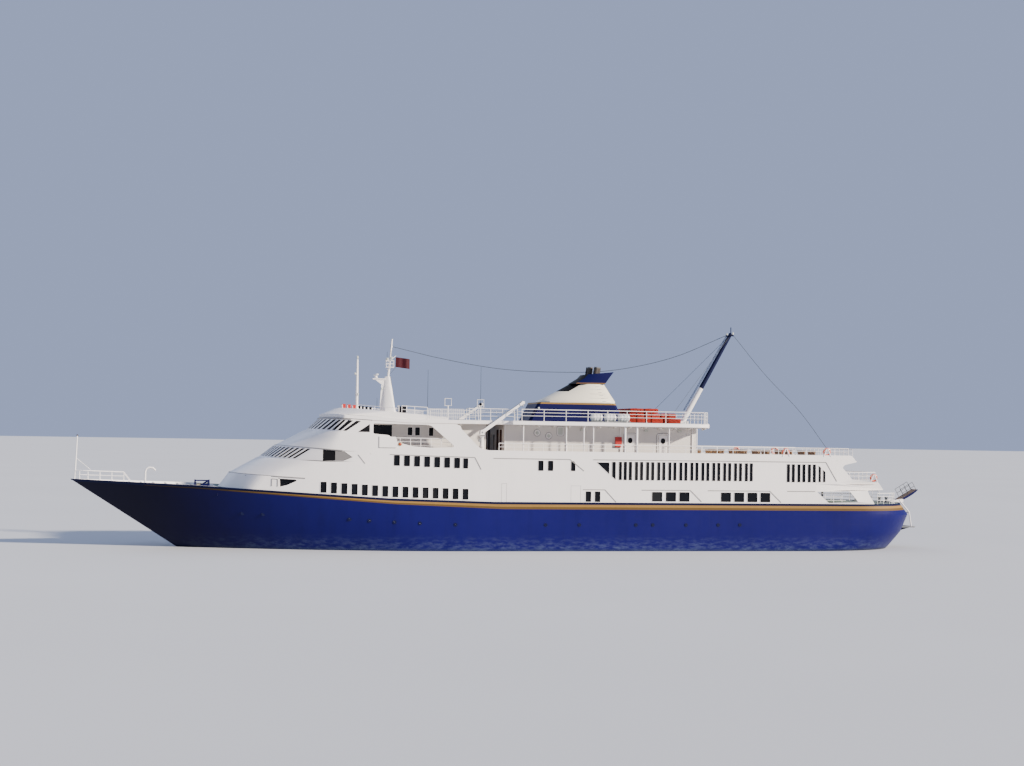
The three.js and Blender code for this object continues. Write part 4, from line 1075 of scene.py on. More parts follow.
def build_side_screens():
    """The side carried up round the bridge deck, its opening, and the coaming of the sun deck."""
    for name, sign in SIDES:
        piece = Piece("side_screen_skin_" + name)
        place = on_side(sign)
        piece.sheet(place, rounded(SCREEN, 0.16), [rounded(SIDE_OPENING, 0.14)], 0.2, "white")
        piece.prism([place(x, z, -0.04)
                     for x, z in ((13.15, 9.82), (11.75, 9.82), (11.62, 9.55), (11.62, 8.9), (13.15, 8.9))],
                    (0, sign * -0.05, 0), "white")
        line_on(piece, place, [(13.2, 9.82), (13.2, 8.86), (11.75, 8.86)], radius=0.03)
        for x in (-30.0, -24.0, -18.0, -12.0, -6.0, 0.0):
            side_box(piece, sign, (x - 0.12, 6.04, 8.24), (x + 0.12, 6.2, 8.3), "black")
        lamp = "red" if sign > 0 else "green"
        piece.lathe(place(11.35, 9.2, 0.03), (0, sign, 0), [(0, 0.16), (0.06, 0.17), (0.1, 0.12)], "bronze",
                    16)
        piece.lathe(place(11.35, 9.2, -0.05), (0, sign, 0), [(0, 0.09), (0.06, 0.09), (0.08, 0.05)], lamp,
                    14)
        rail(piece, [(12.2, sign * 6.08, 8.28), (6.8, sign * 6.08, 8.28)], 1.45, (0.55, 0.78, 1.0), 0.9)
        side_box(piece, sign, (11.2, 6.3, 9.34), (11.5, 6.4, 9.38), "trim")
        piece.make(replaced=("side_screen_" + name,))


# Bridge and roof

def build_bridge():
    piece = Piece("bridge_skin")
    front = Front(13.9, 6.38, [
        (21.47, 5.5, bridge_floor), (18.86, 2.9, lambda x: bridge_floor(x) + 1.55),
        (18.7, 2.75, lambda x: bridge_floor(x) + 1.6), (17.55, 1.6, top_deck_under)])
    round_front(piece, front, [(0, 1, "white"), (1, 2, "trim")])
    piece.tube([front.place(k / 40, 0.0) for k in range(-27, 28)], 0.05, "shadow_line", 6)
    piece.tube([front.place(k / 40, 2.97, -0.02) for k in range(-30, 31)], 0.05, "shadow_line", 6)
    corner = [(15.0, 2.08), (13.98, 2.72), (13.98, 2.08)]
    striped_band(piece, front, 9, (15.9, 14.6), 2.08, 2.9, [corner], 0.62, recess=0.03, rim=0, pane="black")
    for _, sign in SIDES:
        place = on_side(sign, flat_side(4.4))
        outlines = [oblong(12.6, 10.05, 1.7, 1.6, 0.05), oblong(10.17, 10.32, 0.42, 0.7),
                    oblong(9.51, 10.32, 0.42, 0.7)]
        piece.wall(place, lambda x: SUN_DECK_Z, lambda x: top_deck_under(x), [3.4, 7.2, 10.5, 13.9],
                   outlines + [oblong(8.3, 10.3, 0.4, 0.72)], "cream")
        piece.grid([[place(13.89, z) for z in (8.2, 11.2)], [place(13.89, z, -1.85) for z in (8.2, 11.2)]],
                   "cream")
    bulkhead(piece, 3.4, 4.4, SUN_DECK_Z, 11.0, -1, (-2.6, 2.6), ((-1.1, 1.2), (1.1, 1.2)), "cream")
    piece.make(replaced=("bridge_front", "bridge_house"))


def build_roof():
    piece = Piece("bridge_roof_skin")

    def over(x):
        return top_deck_under(x) + 0.375

    front = Front(7.2, 6.26,
                  [(17.38, 1.6, over), (16.16, 4.4, roof_top), (16.0, 4.3, lambda x: roof_top(x) + 0.02)])
    stations = [-1 + 2 * k / 60 for k in range(61)]
    piece.grid([[front.place(u, v) for u in stations] for v in (0, 0.5, 1, 2)], "white")
    port = [front.place(u, 2) for u in stations if u >= 0]
    piece.mirror_span(port, "white")
    low, high = front.place(1, 0), front.place(1, 2)
    piece.add([low, high, mirrored(high, -1), mirrored(low, -1)], [(0, 1, 2, 3)], "white")
    piece.make(replaced=("bridge_roof",))


DOOR_XS = (-12.6, -9.5)


def build_sun_house():
    piece = Piece("sun_house_skin")
    for _, sign in SIDES:
        place = on_side(sign, flat_side(4.2))
        outlines = [oblong(-3.43, 10.55, 0.46, 0.66, 0.08)]
        piece.wall(place, lambda x: SUN_DECK_Z, lambda x: 11.0, [-16.2, 1.74], outlines, "cream",
                   pane="lamp_lens", rim=0.07, proud=0.04)
        piece.tube([place(x, z, -0.005) for x, z in grown(outlines[0], 0.1)], 0.02, "shadow_line", 4,
                   closed=True)
        for x, z in ((-1.29, 10.36), (-2.36, 10.11)):
            piece.hoop(place(x, z, -0.03), PORT, 0.22, 0.06, "trim")
            piece.hoop(place(x, z, -0.01), PORT, 0.3, 0.02, "shadow_line")
            piece.lathe(place(x, z, 0.02), (0, sign, 0), [(0, 0.2), (0.05, 0.2), (0.06, 0.05), (0.1, 0.04)],
                        "lamp_lens", 16)
        side_box(piece, sign, (-9.1, 4.21, 9.2), (-8.52, 4.4, 10.1), "red")
        for x, z in ((-5.4, 10.7), (-11.4, 10.7), (-14.6, 10.7)):
            side_box(piece, sign, (x - 0.16, 4.2, z - 0.09), (x + 0.16, 4.36, z + 0.09), "lamp_lens")
        for x in (1.66, -4.0, -9.0, -15.8):
            piece.tube([place(x, 8.2, -0.06), place(x, 11.0, -0.06)], 0.05, "trim", 8)
        for x in DOOR_XS:
            frame = rounded([(x + 0.08, 8.3), (x + 0.08, 10.38), (x - 0.93, 10.38), (x - 0.93, 8.3)], 0.1)
            piece.frame(place, frame, 0.06, 0.05)
            piece.tube([place(u, v, -0.005) for u, v in grown(frame, 0.09)], 0.025, "shadow_line", 4,
                       closed=True)
    for x, facing in ((1.74, 1), (-16.2, -1)):
        bulkhead(piece, x, 4.2, SUN_DECK_Z, 11.0, facing, (0.0,), (), "cream")
    for y in (-3.1, -1.8, 1.8, 3.1):
        def place(u, v, depth=0.0):
            return Vector((1.75 - depth, u, v))
        outline = oblong(y, 9.5, 1.1, 2.2, 0.06)
        piece.fill(place, [outline], -0.012, "brown")
        piece.frame(place, outline, 0.05, 0.04)
    piece.make(replaced=("sun_deck_house",))


# Doors

def build_doors():
    """Deckhouse doors, each on its own hinge."""
    for name, sign in SIDES:
        for number, x in enumerate(DOOR_XS, 1):
            piece = Piece(f"deckhouse_door_{name}_{number}")
            place = on_side(sign, flat_side(4.25))
            outline = rounded([(x - 0.84, 8.36), (x - 0.01, 8.36), (x - 0.01, 10.29), (x - 0.84, 10.29)],
                              0.08)
            hole = oblong(x - 0.425, 9.8, 0.42, 0.5, 0.2)
            piece.sheet(place, outline, [hole], 0.045, "trim")
            piece.fill(place, [hole], 0.022, "glass")
            for z in (8.62, 9.32, 10.02):
                piece.tube([place(x - 0.03, z - 0.07, 0.0), place(x - 0.03, z + 0.07, 0.0)], 0.02, "steel",
                           8)
            knob = place(x - 0.74, 9.32, -0.05)
            piece.lathe(place(x - 0.74, 9.32), (0, sign, 0),
                        [(0, 0.045), (0.01, 0.045), (0.012, 0.02), (0.05, 0.02)], "bare_steel", 12)
            piece.tube([knob, knob + Vector((0.16, 0, -0.01))], 0.014, "bare_steel", 8)
            panel = oblong(x - 0.425, 8.9, 0.6, 0.7, 0.06)
            piece.grid([[place(u, v, d) for u, v in loop] for loop, d in
                        ((grown(panel, 0.02), 0.0), (panel, -0.012), (grown(panel, -0.04), -0.012),
                         (grown(panel, -0.06), 0.0))],
                       "trim", True)
            piece.make(body=f"{name}_door_{number}", replaced=(f"door_{name}_{number}",))


# Top deck and rails

CRANES = (("port", 1, 4.0), ("starboard", -1, 5.4))
CRANE_Y = 5.5
TOP_EDGE = 6.38


def top_deck_plan(crane_x):
    """(x, half-breadth) of the top deck's edge from aft to the nose, with the notch for the crane."""
    spots = [(-17.5, 3.4), (-17.2, 4.9), (-16.7, 5.8), (-16.2, 6.2), (-15.6, TOP_EDGE)]
    notch = [(crane_x - 2.6, TOP_EDGE), (crane_x - 2.6, 5.22), (crane_x + 0.75, 5.22),
             (crane_x + 0.75, TOP_EDGE)]
    spots += [(x, TOP_EDGE) for x in (-12, -8, -4, 0)] + notch + [(x, TOP_EDGE) for x in (7.2, 9, 10.5, 12)]
    for k in range(17):
        turn = k / 16 * math.pi / 2
        x = 15.9 + 1.55 * math.sin(turn)
        spots.append((x, max(0.0, min(TOP_EDGE * math.cos(turn), side_of(x) - 0.02))))
    return spots


def build_top_deck():
    piece = Piece("top_deck_skin")
    for _, sign, crane_x in CRANES:
        spots = top_deck_plan(crane_x)
        profile = ((-TOP_EDGE, 0.38), (-0.12, 0.38), (0.0, 0.33), (0.0, 0.06), (-0.1, 0.01),
                   (-TOP_EDGE, 0.01))
        rows = [
            [Vector((x, sign * max(0.0, y + inset), top_deck_under(x) + rise)) for x, y in spots]
            for inset, rise in profile]
        looks = ("deck", "white", "white", "white", "cream")
        piece.grid(rows, lambda r, c: looks[r])
        for k in range(14):
            x = -15.5 + 2.0 * k
            if abs(x - crane_x + 1) > 2.4 and x < 12:
                piece.lathe((x, sign * 5.7, 10.99), (0, 0, -1), [(0, 0.12), (0.03, 0.12), (0.06, 0.08)],
                            "lamp_lens", 14)
        for x in (-15.6, -13.0, -10.0, -8.9, -5.97, -5.1, -3.49, 0.4):
            thick = 0.09 if -10.5 < x < -8 else 0.05
            piece.tube([(x, sign * 6.06, 8.25), (x, sign * 6.06, 11.05)], thick, "trim", 10)
        for k in range(24):
            x = -16.4 + 1.4 * k
            if not crane_x - 2.8 < x < crane_x + 0.9:
                piece.prism([(x, sign * 5.2, 10.99), (x, sign * 6.24, 10.99), (x, sign * 6.24, 10.9),
                             (x, sign * 5.2, 10.8)],
                            (0.05, 0, 0), "cream")
    aft = [Vector((-17.5, y, z)) for y, z in ((-3.4, 11.06), (3.4, 11.06), (3.4, 11.33), (-3.4, 11.33))]
    piece.add(aft, [(0, 1, 2, 3)], "white")
    piece.make(replaced=("top_deck",))


def build_top_rails():
    z = TOP_DECK_Z
    for name, sign, crane_x in CRANES:
        piece = Piece("top_rail_skin_" + name)
        y = sign * 6.25
        rail(piece, [(x, y, z) for x in (crane_x - 3.4, -5.4, -16.2)], 1.0, (0.43, 0.72, 1.0), 1.85)
        piece.make(replaced=("top_rail_" + name,))
    for name, sign, crane_x in CRANES:
        piece = Piece("top_rail_forward_" + name)
        y = sign * 6.25
        fore = crane_x + 1.3
        rail(piece, [(11.2, sign * 6.05, 11.5), (9.0, y, z)])
        place = on_side(sign, flat_side(6.27))
        (a, low), (b, high) = (fore + 0.5, 11.5), (8.96, 12.3)
        for k in range(9):
            level = lerp(low, high, k / 8)
            piece.tube([place(a, level), place(b, level)], 0.013, "trim", 5)
        for k in range(18):
            x = lerp(a, b, k / 17)
            piece.tube([place(x, low - 0.08), place(x, high)], 0.013, "trim", 5)
        inner = sign * 5.05
        rail(piece, [(fore, y, z), (fore, inner, z), (crane_x - 3.0, inner, z), (crane_x - 3.0, y, z)])
        piece.make()
    piece = Piece("top_rail_skin_aft")
    port = [(-16.35, 6.05), (-16.9, 5.2), (-17.4, 3.2)]
    plan = [*port, (-17.48, 0)] + [(x, -y) for x, y in reversed(port)]
    rail(piece, [(x, y, z) for x, y in plan])
    piece.make(replaced=("top_rail_aft",))


def coaming_top(x):
    return lerp(8.72, 8.76, (x + 30.45) / 34.1) if x < 3.66 else 8.9


def build_sun_rails():
    for name, sign in SIDES:
        piece = Piece("sun_rail_skin_" + name)
        path = [(x, sign * 6.22, coaming_top(x)) for x in (2.6, -4, -10, -16, -22, -30.2)]
        rail(piece, path, 0.64, (0.5, 1.0), 1.4)
        piece.make(replaced=("sun_rail_" + name,))
    piece = Piece("sun_rail_skin_aft")
    rail(piece, [(-30.8, 5.8, 8.2), (-30.8, 0, 8.2), (-30.8, -5.8, 8.2)], 1.1)
    piece.make(replaced=("sun_rail_aft",))
    piece = Piece("terrace_rail_skin")
    z = 6.1
    half = [(-29.4, 6.2, z), (-31.3, 6.1, z), (-33.1, 5.7, z), (-33.2, 2.8, z), (-33.2, 0, z)]
    rail(piece, half + [(x, -y, z) for x, y, z in reversed(half[:-1])], 1.1)
    piece.make(replaced=("terrace_rail",))


RAFT_PROFILE = (
    # share of the half length from the middle, radius
    (-1, 0.05), (-0.96, 0.2), (-0.88, 0.28), (-0.74, 0.33), (-0.6, 0.335), (-0.57, 0.355), (-0.5, 0.355),
    (-0.47, 0.335), (-0.07, 0.335), (-0.06, 0.365), (0.06, 0.365), (0.07, 0.335), (0.47, 0.335),
    (0.5, 0.355), (0.57, 0.355), (0.6, 0.335), (0.74, 0.33), (0.88, 0.28), (0.96, 0.2), (1, 0.05),
)


# Safety gear

def build_liferafts():
    """Liferaft shells in their cradles at the deck's edge."""
    for name, sign in SIDES:
        piece = Piece("liferaft_shells_" + name)
        y, z, half = sign * 5.8, 11.81, 0.55
        for edge in (y - 0.24, y + 0.24):
            piece.tube([(-9.38, edge, 11.45), (-5.72, edge, 11.45)], 0.04, "steel", 8)
        for x in (-6.3, -7.55, -8.8):
            profile = [((share + 1) * half, radius) for share, radius in RAFT_PROFILE]
            piece.lathe((x - half, y, z), AHEAD, profile, "canister", 28)
            for dx in (-0.3, 0.3):
                piece.hoop((x + dx, y, z), AHEAD, 0.358, 0.016, "rope", 24, 6)
                arm = [(x + dx, y + w, level)
                       for w, level in ((-0.36, 11.75), (-0.28, 11.52), (0, 11.43), (0.28, 11.52),
                                        (0.36, 11.75))]
                piece.tube(arm, 0.03, "steel", 8)
        piece.make(replaced=("liferafts_" + name,), bevel=0.004)


FLOAT_LAYERS = ((-15.5, -10.3, 11.42, 11.84), (-15.0, -10.4, 11.86, 12.33), (-13.3, -10.5, 12.35, 12.75))


def build_float_stack():
    """Buoyant apparatus: flat floats with grab lines, stacked and lashed."""
    piece = Piece("float_stack_skin")
    for layer, (aft, fore, low, high) in enumerate(FLOAT_LAYERS):
        count = 3 if layer < 2 else 2
        width = (fore - aft) / count
        for k in range(count):
            for row in range(2):
                x0, x1 = aft + k * width + 0.03, aft + (k + 1) * width - 0.03
                y0, y1 = (-2.08, -0.03) if row == 0 else (0.03, 2.08)
                inset = 0.05
                rows = []
                for z, m in ((low, inset), (low + inset, 0.0), (high - inset, 0.0), (high, inset)):
                    corners = [(x0 + m, y0 + m), (x1 - m, y0 + m), (x1 - m, y1 - m), (x0 + m, y1 - m)]
                    rows.append([(x, y, z) for x, y in rounded(corners, 0.12)])
                capped(piece, rows, "cover")
                loops = 4
                for side in (y0, y1):
                    outer = side + (0.0 if abs(side) < 1 else math.copysign(0.015, side))
                    for j in range(loops):
                        a, b = lerp(x0, x1, j / loops), lerp(x0, x1, (j + 1) / loops)
                        sag = [(lerp(a, b, t / 4), outer, high - 0.1 - 0.12 * math.sin(math.pi * t / 4))
                               for t in range(5)]
                        piece.tube(sag, 0.013, "cover", 5)
    for x in (-14.2, -12.6, -11.2):
        top = 12.35 if x < -13.3 else 12.77
        path = [(-2.1, 11.42), (-2.1, 12.3), (-1.9, top), (1.9, top), (2.1, 12.3), (2.1, 11.42)]
        for a, b in zip(path, path[1:]):
            strap = [(x - 0.03, *a), (x + 0.03, *a), (x + 0.03, *b), (x - 0.03, *b)]
            piece.prism(strap, (0, 0, 0.012), "wire")
    piece.make(replaced=("float_stack",))


def ring(levels, z):
    """Half-breadths of a symmetric level, mirrored into a closed ring."""
    port = [(x, y, z) for x, y in levels]
    return port + [(x, -y, z) for x, y in reversed(levels) if y > 0.001]


def capped(piece, rows, look):
    """A closed skin through rings, with a face on the first and the last."""
    piece.grid(rows, look, True)
    for end, row in ((0, 0), (-1, len(rows) - 2)):
        piece.add(rows[end], [range(len(rows[end]))], look(row, 0) if callable(look) else look)


def build_funnel():
    piece = Piece("funnel_casing_skin")
    levels = ((11.4, -9.95, -1.0), (13.0, -9.27, -1.82), (13.14, -9.21, -1.89), (13.15, -9.2, -1.9))
    rows = [ring([(aft, 1.9), (aft + 0.25, 2.18), (fore - 0.25, 2.18), (fore, 1.9)], z)
            for z, aft, fore in levels]
    capped(piece, rows, lambda r, c: "gold" if r == 1 else "casing")
    for _, sign in SIDES:
        place = on_side(sign, flat_side(2.18))
        for x, wide in ((-3.2, 0.9), (-6.6, 1.1), (-8.2, 0.9)):
            grille = oblong(x, 12.25, wide, 0.75, 0.05)
            piece.frame(place, grille, 0.05, 0.03, "casing")
            for k in range(6):
                z = 11.95 + 0.11 * k
                piece.tube([place(x - wide / 2 + 0.04, z, -0.012), place(x + wide / 2 - 0.04, z, -0.012)],
                           0.025, "casing", 4)
        piece.lathe(place(-1.9, 12.6), (0, sign, 0), [(0, 0.1), (0.06, 0.1), (0.1, 0.06)], "lamp_lens", 14)
    piece.make(replaced=("funnel_casing",))

    piece = Piece("funnel_body_skin")
    steps = ((13.16, -9.2, -2.2, 2.1), (13.32, -9.2, -2.3, 2.1), (13.75, -8.95, -3.2, 1.89),
             (14.15, -8.72, -3.95, 1.7), (14.2, -8.7, -4.05, 1.68), (14.6, -8.47, -4.78, 1.5),
             (14.9, -8.3, -5.3, 1.35))
    rows = []
    for z, aft, fore, half in steps:
        rows.append(ring([(aft, half * 0.8), (aft + 0.5, half), ((aft + fore) / 2, half),
                          (fore - 0.9, half * 0.7), (fore - 0.25, half * 0.3), (fore, 0)], z))

    def look(r, c):
        nose = min(abs(c - 4), abs(c - 5))
        return "black" if r >= 4 and nose <= 1 else "funnel"
    capped(piece, rows, look)
    for _, sign in SIDES:
        for z in (13.6, 14.0, 14.4):
            t = (z - 13.3) / 1.6
            a, b, y = lerp(-9.1, -8.3, t), lerp(-6.6, -7.0, t), lerp(2.1, 1.35, t)
            piece.tube([(a + 0.5, sign * y, z), (b, sign * y, z)], 0.012, "shadow_line", 4)
        for k in range(6):
            z = 13.35 + 0.27 * k
            t = (z - 13.3) / 1.6
            x, y = lerp(-8.3, -7.7, t), lerp(2.1, 1.35, t) + 0.06
            piece.tube([(x, sign * y, z), (x + 0.32, sign * y, z)], 0.018, "trim", 5)
    piece.make(replaced=("funnel",))

    piece = Piece("funnel_wing_skin")
    steps = ((14.92, -8.35, -5.3, 1.35, 0.0), (14.96, -8.37, -5.37, 1.355, 0.01),
             (15.03, -8.41, -5.48, 1.365, 0.02), (15.6, -8.8, -6.2, 1.4, 0.15),
             (16.05, -9.15, -6.5, 1.4, 0.28))
    rows = []
    for z, aft, fore, half, drop in steps:
        plan = [(aft, half), ((aft + fore) / 2, half), (fore - 0.3, half * 0.75), (fore, half * 0.4)]
        loop = [Vector(p) for p in ring(plan, z)]
        rows.append([p - Vector((0, 0, drop * clamp((p.x - aft) / (fore - aft)))) for p in loop])
    capped(piece, rows, lambda r, c: "black" if c in (2, 3, 4) else "gold" if r == 1 else "casing")
    for x, y in ((-7.1, 0.34), (-7.1, -0.34), (-7.85, 0.34), (-7.85, -0.34), (-7.5, 0.95)):
        axis = Vector((-0.15, 0, 1)).normalized()
        r, length = 0.23, 0.9
        piece.lathe((x, y, 15.6), axis, [(0, r), (length, r), (length, r * 0.86), (length - 0.3, r * 0.84)],
                    "soot", 18)
        piece.hoop(Vector((x, y, 15.6)) + axis * (length - 0.05), axis, r, 0.015, "bare_steel", 16, 5)
    piece.make(replaced=("funnel_wing",))


# Masts

def build_masts():
    piece = Piece("main_mast_skin")
    steps = ((roof_top(10.75), 10.75, 12.05, 0.45), (roof_top(11.2) + 0.6, 10.9, 12.0, 0.4),
             (14.4, 11.2, 11.85, 0.25), (15.2, 11.35, 11.8, 0.2))
    rows = [ring([(aft, half * 0.6), (aft + 0.15, half), (fore - 0.25, half), (fore, half * 0.4)], z)
            for z, aft, fore, half in steps]
    capped(piece, rows, "white")
    piece.tube([(11.53, 0, 15.0), (11.37, 0, 16.8), (11.2, 0, 18.6)], [0.11, 0.09, 0.055], "white", 12)
    piece.box((11.16, -0.03, 17.83), (11.28, 0.03, 17.97), "white")
    piece.box((11.6, -0.14, 14.93), (12.9, 0.14, 15.02), "white")
    piece.prism([(11.7, -0.06, 14.93), (12.7, -0.06, 14.93), (11.7, -0.06, 14.2)], (0, 0.12, 0), "white")
    piece.tube([(11.45, -1.5, 16.6), (11.45, 1.5, 16.6)], 0.05, "white", 8)
    piece.tube([(11.5, -0.9, 15.9), (11.5, 0.9, 15.9)], 0.04, "white", 8)
    for y in (-1.45, -0.9, 0.9, 1.45):
        piece.lathe((11.45, y, 16.6), UP, [(0, 0.06), (0.1, 0.06), (0.14, 0.09), (0.3, 0.09), (0.34, 0.04)],
                    "lamp_lens", 12)
    for y in (-1.2, 1.2):
        piece.tube([(11.45, y, 16.6), (11.45, y, 17.5)], 0.015, "wire", 5)
    piece.box((11.05, -0.34, 16.02), (11.75, 0.34, 16.07), "white")
    for lift in (0.3, 0.6):
        corners = [(11.07, -0.32), (11.73, -0.32), (11.73, 0.32), (11.07, 0.32)]
        piece.tube([(x, y, 16.05 + lift) for x, y in corners], 0.02, "trim", 6, closed=True)
        for x, y in corners:
            piece.tube([(x, y, 16.05), (x, y, 16.65)], 0.02, "trim", 6)
    piece.prism([(12.25, -0.04, roof_top(12.25)), (12.0, -0.04, roof_top(12.0)), (11.85, -0.04, 14.2),
                 (12.1, -0.04, 14.93)], (0, 0.08, 0), "white")
    piece.tube([(11.42, 0.35, 16.6), (11.38, 0.35, 18.1)], 0.015, "wire", 5)
    for k in range(10):
        z = 12.2 + 0.3 * k
        piece.tube([(11.0 + (z - 12) * 0.1, -0.14, z), (11.0 + (z - 12) * 0.1, 0.14, z)], 0.015, "steel", 5)
    for dy in (-0.15, 0.15):
        piece.tube([(10.98, dy, 12.0), (11.3, dy, 15.2)], 0.018, "steel", 6)
    piece.lathe((11.95, 0, 14.1), AHEAD, [(0, 0.05), (0.02, 0.12), (0.16, 0.14), (0.2, 0.1)], "lamp_lens",
                14)
    piece.make(replaced=("main_mast",))

    piece = Piece("radar_scanner_skin")
    piece.lathe((12.6, 0, 15.08), UP,
                [(0, 0.16), (0.03, 0.16), (0.05, 0.12), (0.12, 0.12), (0.15, 0.08), (0.18, 0.08)], "trim",
                20)
    rows = []
    for y in (-0.9, -0.86, -0.5, 0, 0.5, 0.86, 0.9):
        inset = 0.03 if abs(y) > 0.88 else 0.0
        rows.append([(12.6 + dx * (1 - inset * 6), y, 15.34 + dz * (1 - inset * 6)) for dx, dz in
                     ((0.1, -0.04), (0.11, 0.0), (0.1, 0.05), (0.04, 0.09), (-0.06, 0.09), (-0.1, 0.04),
                      (-0.1, -0.04), (-0.04, -0.08), (0.05, -0.08))])
    capped(piece, rows, "canister")
    piece.make(body="radar", replaced=("radar_scanner",))

    piece = Piece("foremast_skin")
    piece.lathe((14.3, 0, roof_top(14.3) - 0.05), UP,
                [(0, 0.32), (0.05, 0.32), (0.07, 0.22), (0.5, 0.18), (0.52, 0.13), (2.6, 0.11),
                 (4.6, 0.08)], "white", 14)
    piece.tube([(14.3, -0.7, 13.44), (14.3, 0.7, 13.44)], 0.035, "white", 8)
    for y in (-0.62, 0.62):
        piece.lathe((14.3, y, 13.44), UP, [(0, 0.05), (0.05, 0.08), (0.2, 0.08), (0.24, 0.03)], "lamp_lens",
                    12)
    piece.lathe((14.3, 0, 16.75), UP,
                [(0, 0.09), (0.03, 0.1), (0.05, 0.08), (0.2, 0.08), (0.22, 0.1), (0.26, 0.04)], "lamp_lens",
                14)
    piece.lathe((14.38, 0, 15.4), AHEAD, [(0, 0.05), (0.02, 0.1), (0.15, 0.1), (0.17, 0.07)], "lamp_lens",
                14)
    piece.make(replaced=("foremast",))

    piece = Piece("aft_mast_skin")
    foot, head = Vector((-16.3, 0, 11.6)), Vector((-21.0, 0, 20.0))
    points = [foot.lerp(head, t) for t in (0, 0.38, 0.385, 1)]
    piece.tube(points[:2], [0.26, 0.225], "trim", 16)
    piece.tube(points[2:], [0.22, 0.165], "navy", 16)
    piece.prism(ring([(-16.75, 0.45), (-15.85, 0.45)], 11.4), (0, 0, 0.28), "trim")
    piece.tube([(-21.0, 0, 19.8), (-21.0, 0, 20.6)], 0.045, "navy", 8)
    piece.tube([(-20.9, -0.9, 19.8), (-20.9, 0.9, 19.8)], 0.05, "navy", 8)
    piece.box((-21.28, -0.05, 19.76), (-20.52, 0.05, 19.86), "navy")
    for y in (-0.8, 0.8):
        piece.lathe((-20.9, y, 19.84), UP, [(0, 0.05), (0.04, 0.09), (0.2, 0.09), (0.24, 0.04)],
                    "lamp_lens", 12)
    along = (head - foot).normalized()
    fore = Vector((-along.z, 0, along.x)) * -1
    for dy in (-0.16, 0.16):
        piece.tube([foot + fore * 0.42 + along * 1.0 + Vector((0, dy, 0)),
                    head + fore * 0.26 - along * 0.4 + Vector((0, dy, 0))], 0.02, "navy", 6)
    for k in range(26):
        spot = foot.lerp(head, 0.12 + 0.033 * k) + fore * lerp(0.41, 0.27, k / 26)
        piece.tube([spot + Vector((0, -0.16, 0)), spot + Vector((0, 0.16, 0))], 0.014, "navy", 5)
    piece.make(replaced=("aft_mast",))


# Cranes

def build_cranes():
    for name, sign, x in CRANES:
        y = sign * CRANE_Y
        piece = Piece("crane_base_skin_" + name)
        piece.lathe((x, y, 8.2), UP,
                    [(0, 0.26), (0.04, 0.26), (0.05, 0.22), (0.82, 0.2), (0.84, 0.25), (0.89, 0.25)],
                    "trim", 20)
        for k in range(8):
            turn = math.pi * k / 4
            piece.lathe((x + 0.235 * math.cos(turn), y + 0.235 * math.sin(turn), 8.24), UP,
                        [(0, 0.02), (0.03, 0.02)], "steel", 6)
            if k % 2:
                piece.prism([(x + r * math.cos(turn), y + r * math.sin(turn), z)
                             for r, z in ((0.2, 8.25), (0.25, 8.25), (0.2, 8.6))],
                            (0.02, 0, 0), "trim")
        piece.make(replaced=("crane_base_" + name,))

        piece = Piece("crane_post_skin_" + name)
        piece.lathe((x, y, 9.11), UP,
                    [(0, 0.2), (0.05, 0.2), (0.06, 0.18), (0.8, 0.17), (0.84, 0.2), (0.97, 0.2)], "trim", 20)
        piece.box((x - 0.19, y - 0.29, 9.96), (x + 0.19, y + 0.29, 10.08), "trim")
        for offset in (-0.25, 0.25):
            cheek = ((-0.19, 10.0), (0.19, 10.0), (0.17, 10.45), (0.08, 10.54), (-0.08, 10.54),
                     (-0.17, 10.45))
            piece.prism([(x + u, y + offset - 0.04, z) for u, z in cheek], (0, 0.08, 0), "trim")
            out = math.copysign(1, offset)
            boss = [(0, 0.08), (0.02, 0.08), (0.03, 0.04)]
            piece.lathe((x, y + offset + 0.045 * out, 10.32), (0, out, 0), boss, "steel", 12)
        piece.lathe((x + 0.18, y - 0.12, 9.6), PORT,
                    [(0, 0.13), (0.02, 0.13), (0.025, 0.08), (0.22, 0.08), (0.225, 0.13), (0.24, 0.13)],
                    "steel", 16)
        piece.make(body=f"crane_{name}_post", replaced=("crane_post_" + name,))

        piece = Piece("crane_jib_skin_" + name)
        pivot = Vector((x, y, 10.32))
        along = Vector((-3.9, 0, 2.85)).normalized()
        up = Vector((2.85, 0, 3.9)).normalized()
        length = math.hypot(3.9, 2.85)
        rows = []
        for share, half, deep in ((-0.02, 0.1, 0.1), (0.04, 0.12, 0.14), (0.35, 0.125, 0.145),
                                  (0.8, 0.1, 0.1), (0.93, 0.08, 0.08)):
            centre = pivot + along * (share * length)
            rows.append([centre + up * a * deep + Vector((0, b * half, 0))
                         for a, b in ((1, 1), (1, -1), (-1, -1), (-1, 1))])
        capped(piece, rows, "trim")
        head = pivot + along * (length - 0.35)
        for side in (-0.13, 0.13):
            cheek = ((-0.3, 0.1), (0.12, 0.14), (0.2, 0), (0.12, -0.14), (-0.3, -0.1))
            plate = [head + along * a + up * b + Vector((0, side, 0)) for a, b in cheek]
            piece.prism(plate, (0, math.copysign(0.025, side), 0), "trim")
        piece.lathe(head + Vector((0, -0.05, 0)), PORT,
                    [(0, 0.16), (0.02, 0.17), (0.04, 0.12), (0.06, 0.12), (0.08, 0.17), (0.1, 0.16)],
                    "steel", 20)
        piece.tube([pivot + along * 0.3 + up * 0.17, head + up * 0.15], 0.012, "wire", 5)
        piece.lathe(pivot + Vector((0, -0.19, 0)), PORT, [(0, 0.09), (0.38, 0.09)], "steel", 14)
        for k in range(1, 6):
            centre = pivot + along * (0.6 + 0.65 * k)
            piece.hoop(centre, PORT, 0.05, 0.01, "shadow_line", 10, 4)
        drop = head + along * 0.12
        piece.tube([drop, drop - along * 0.25 - up * 0.15], 0.012, "wire", 5)
        piece.lathe(drop - along * 0.25 - up * 0.14, -up,
                    [(0, 0.03), (0.02, 0.05), (0.12, 0.05), (0.14, 0.03)], "steel", 10)
        piece.make(body=f"crane_{name}_jib", replaced=("crane_jib_" + name,))


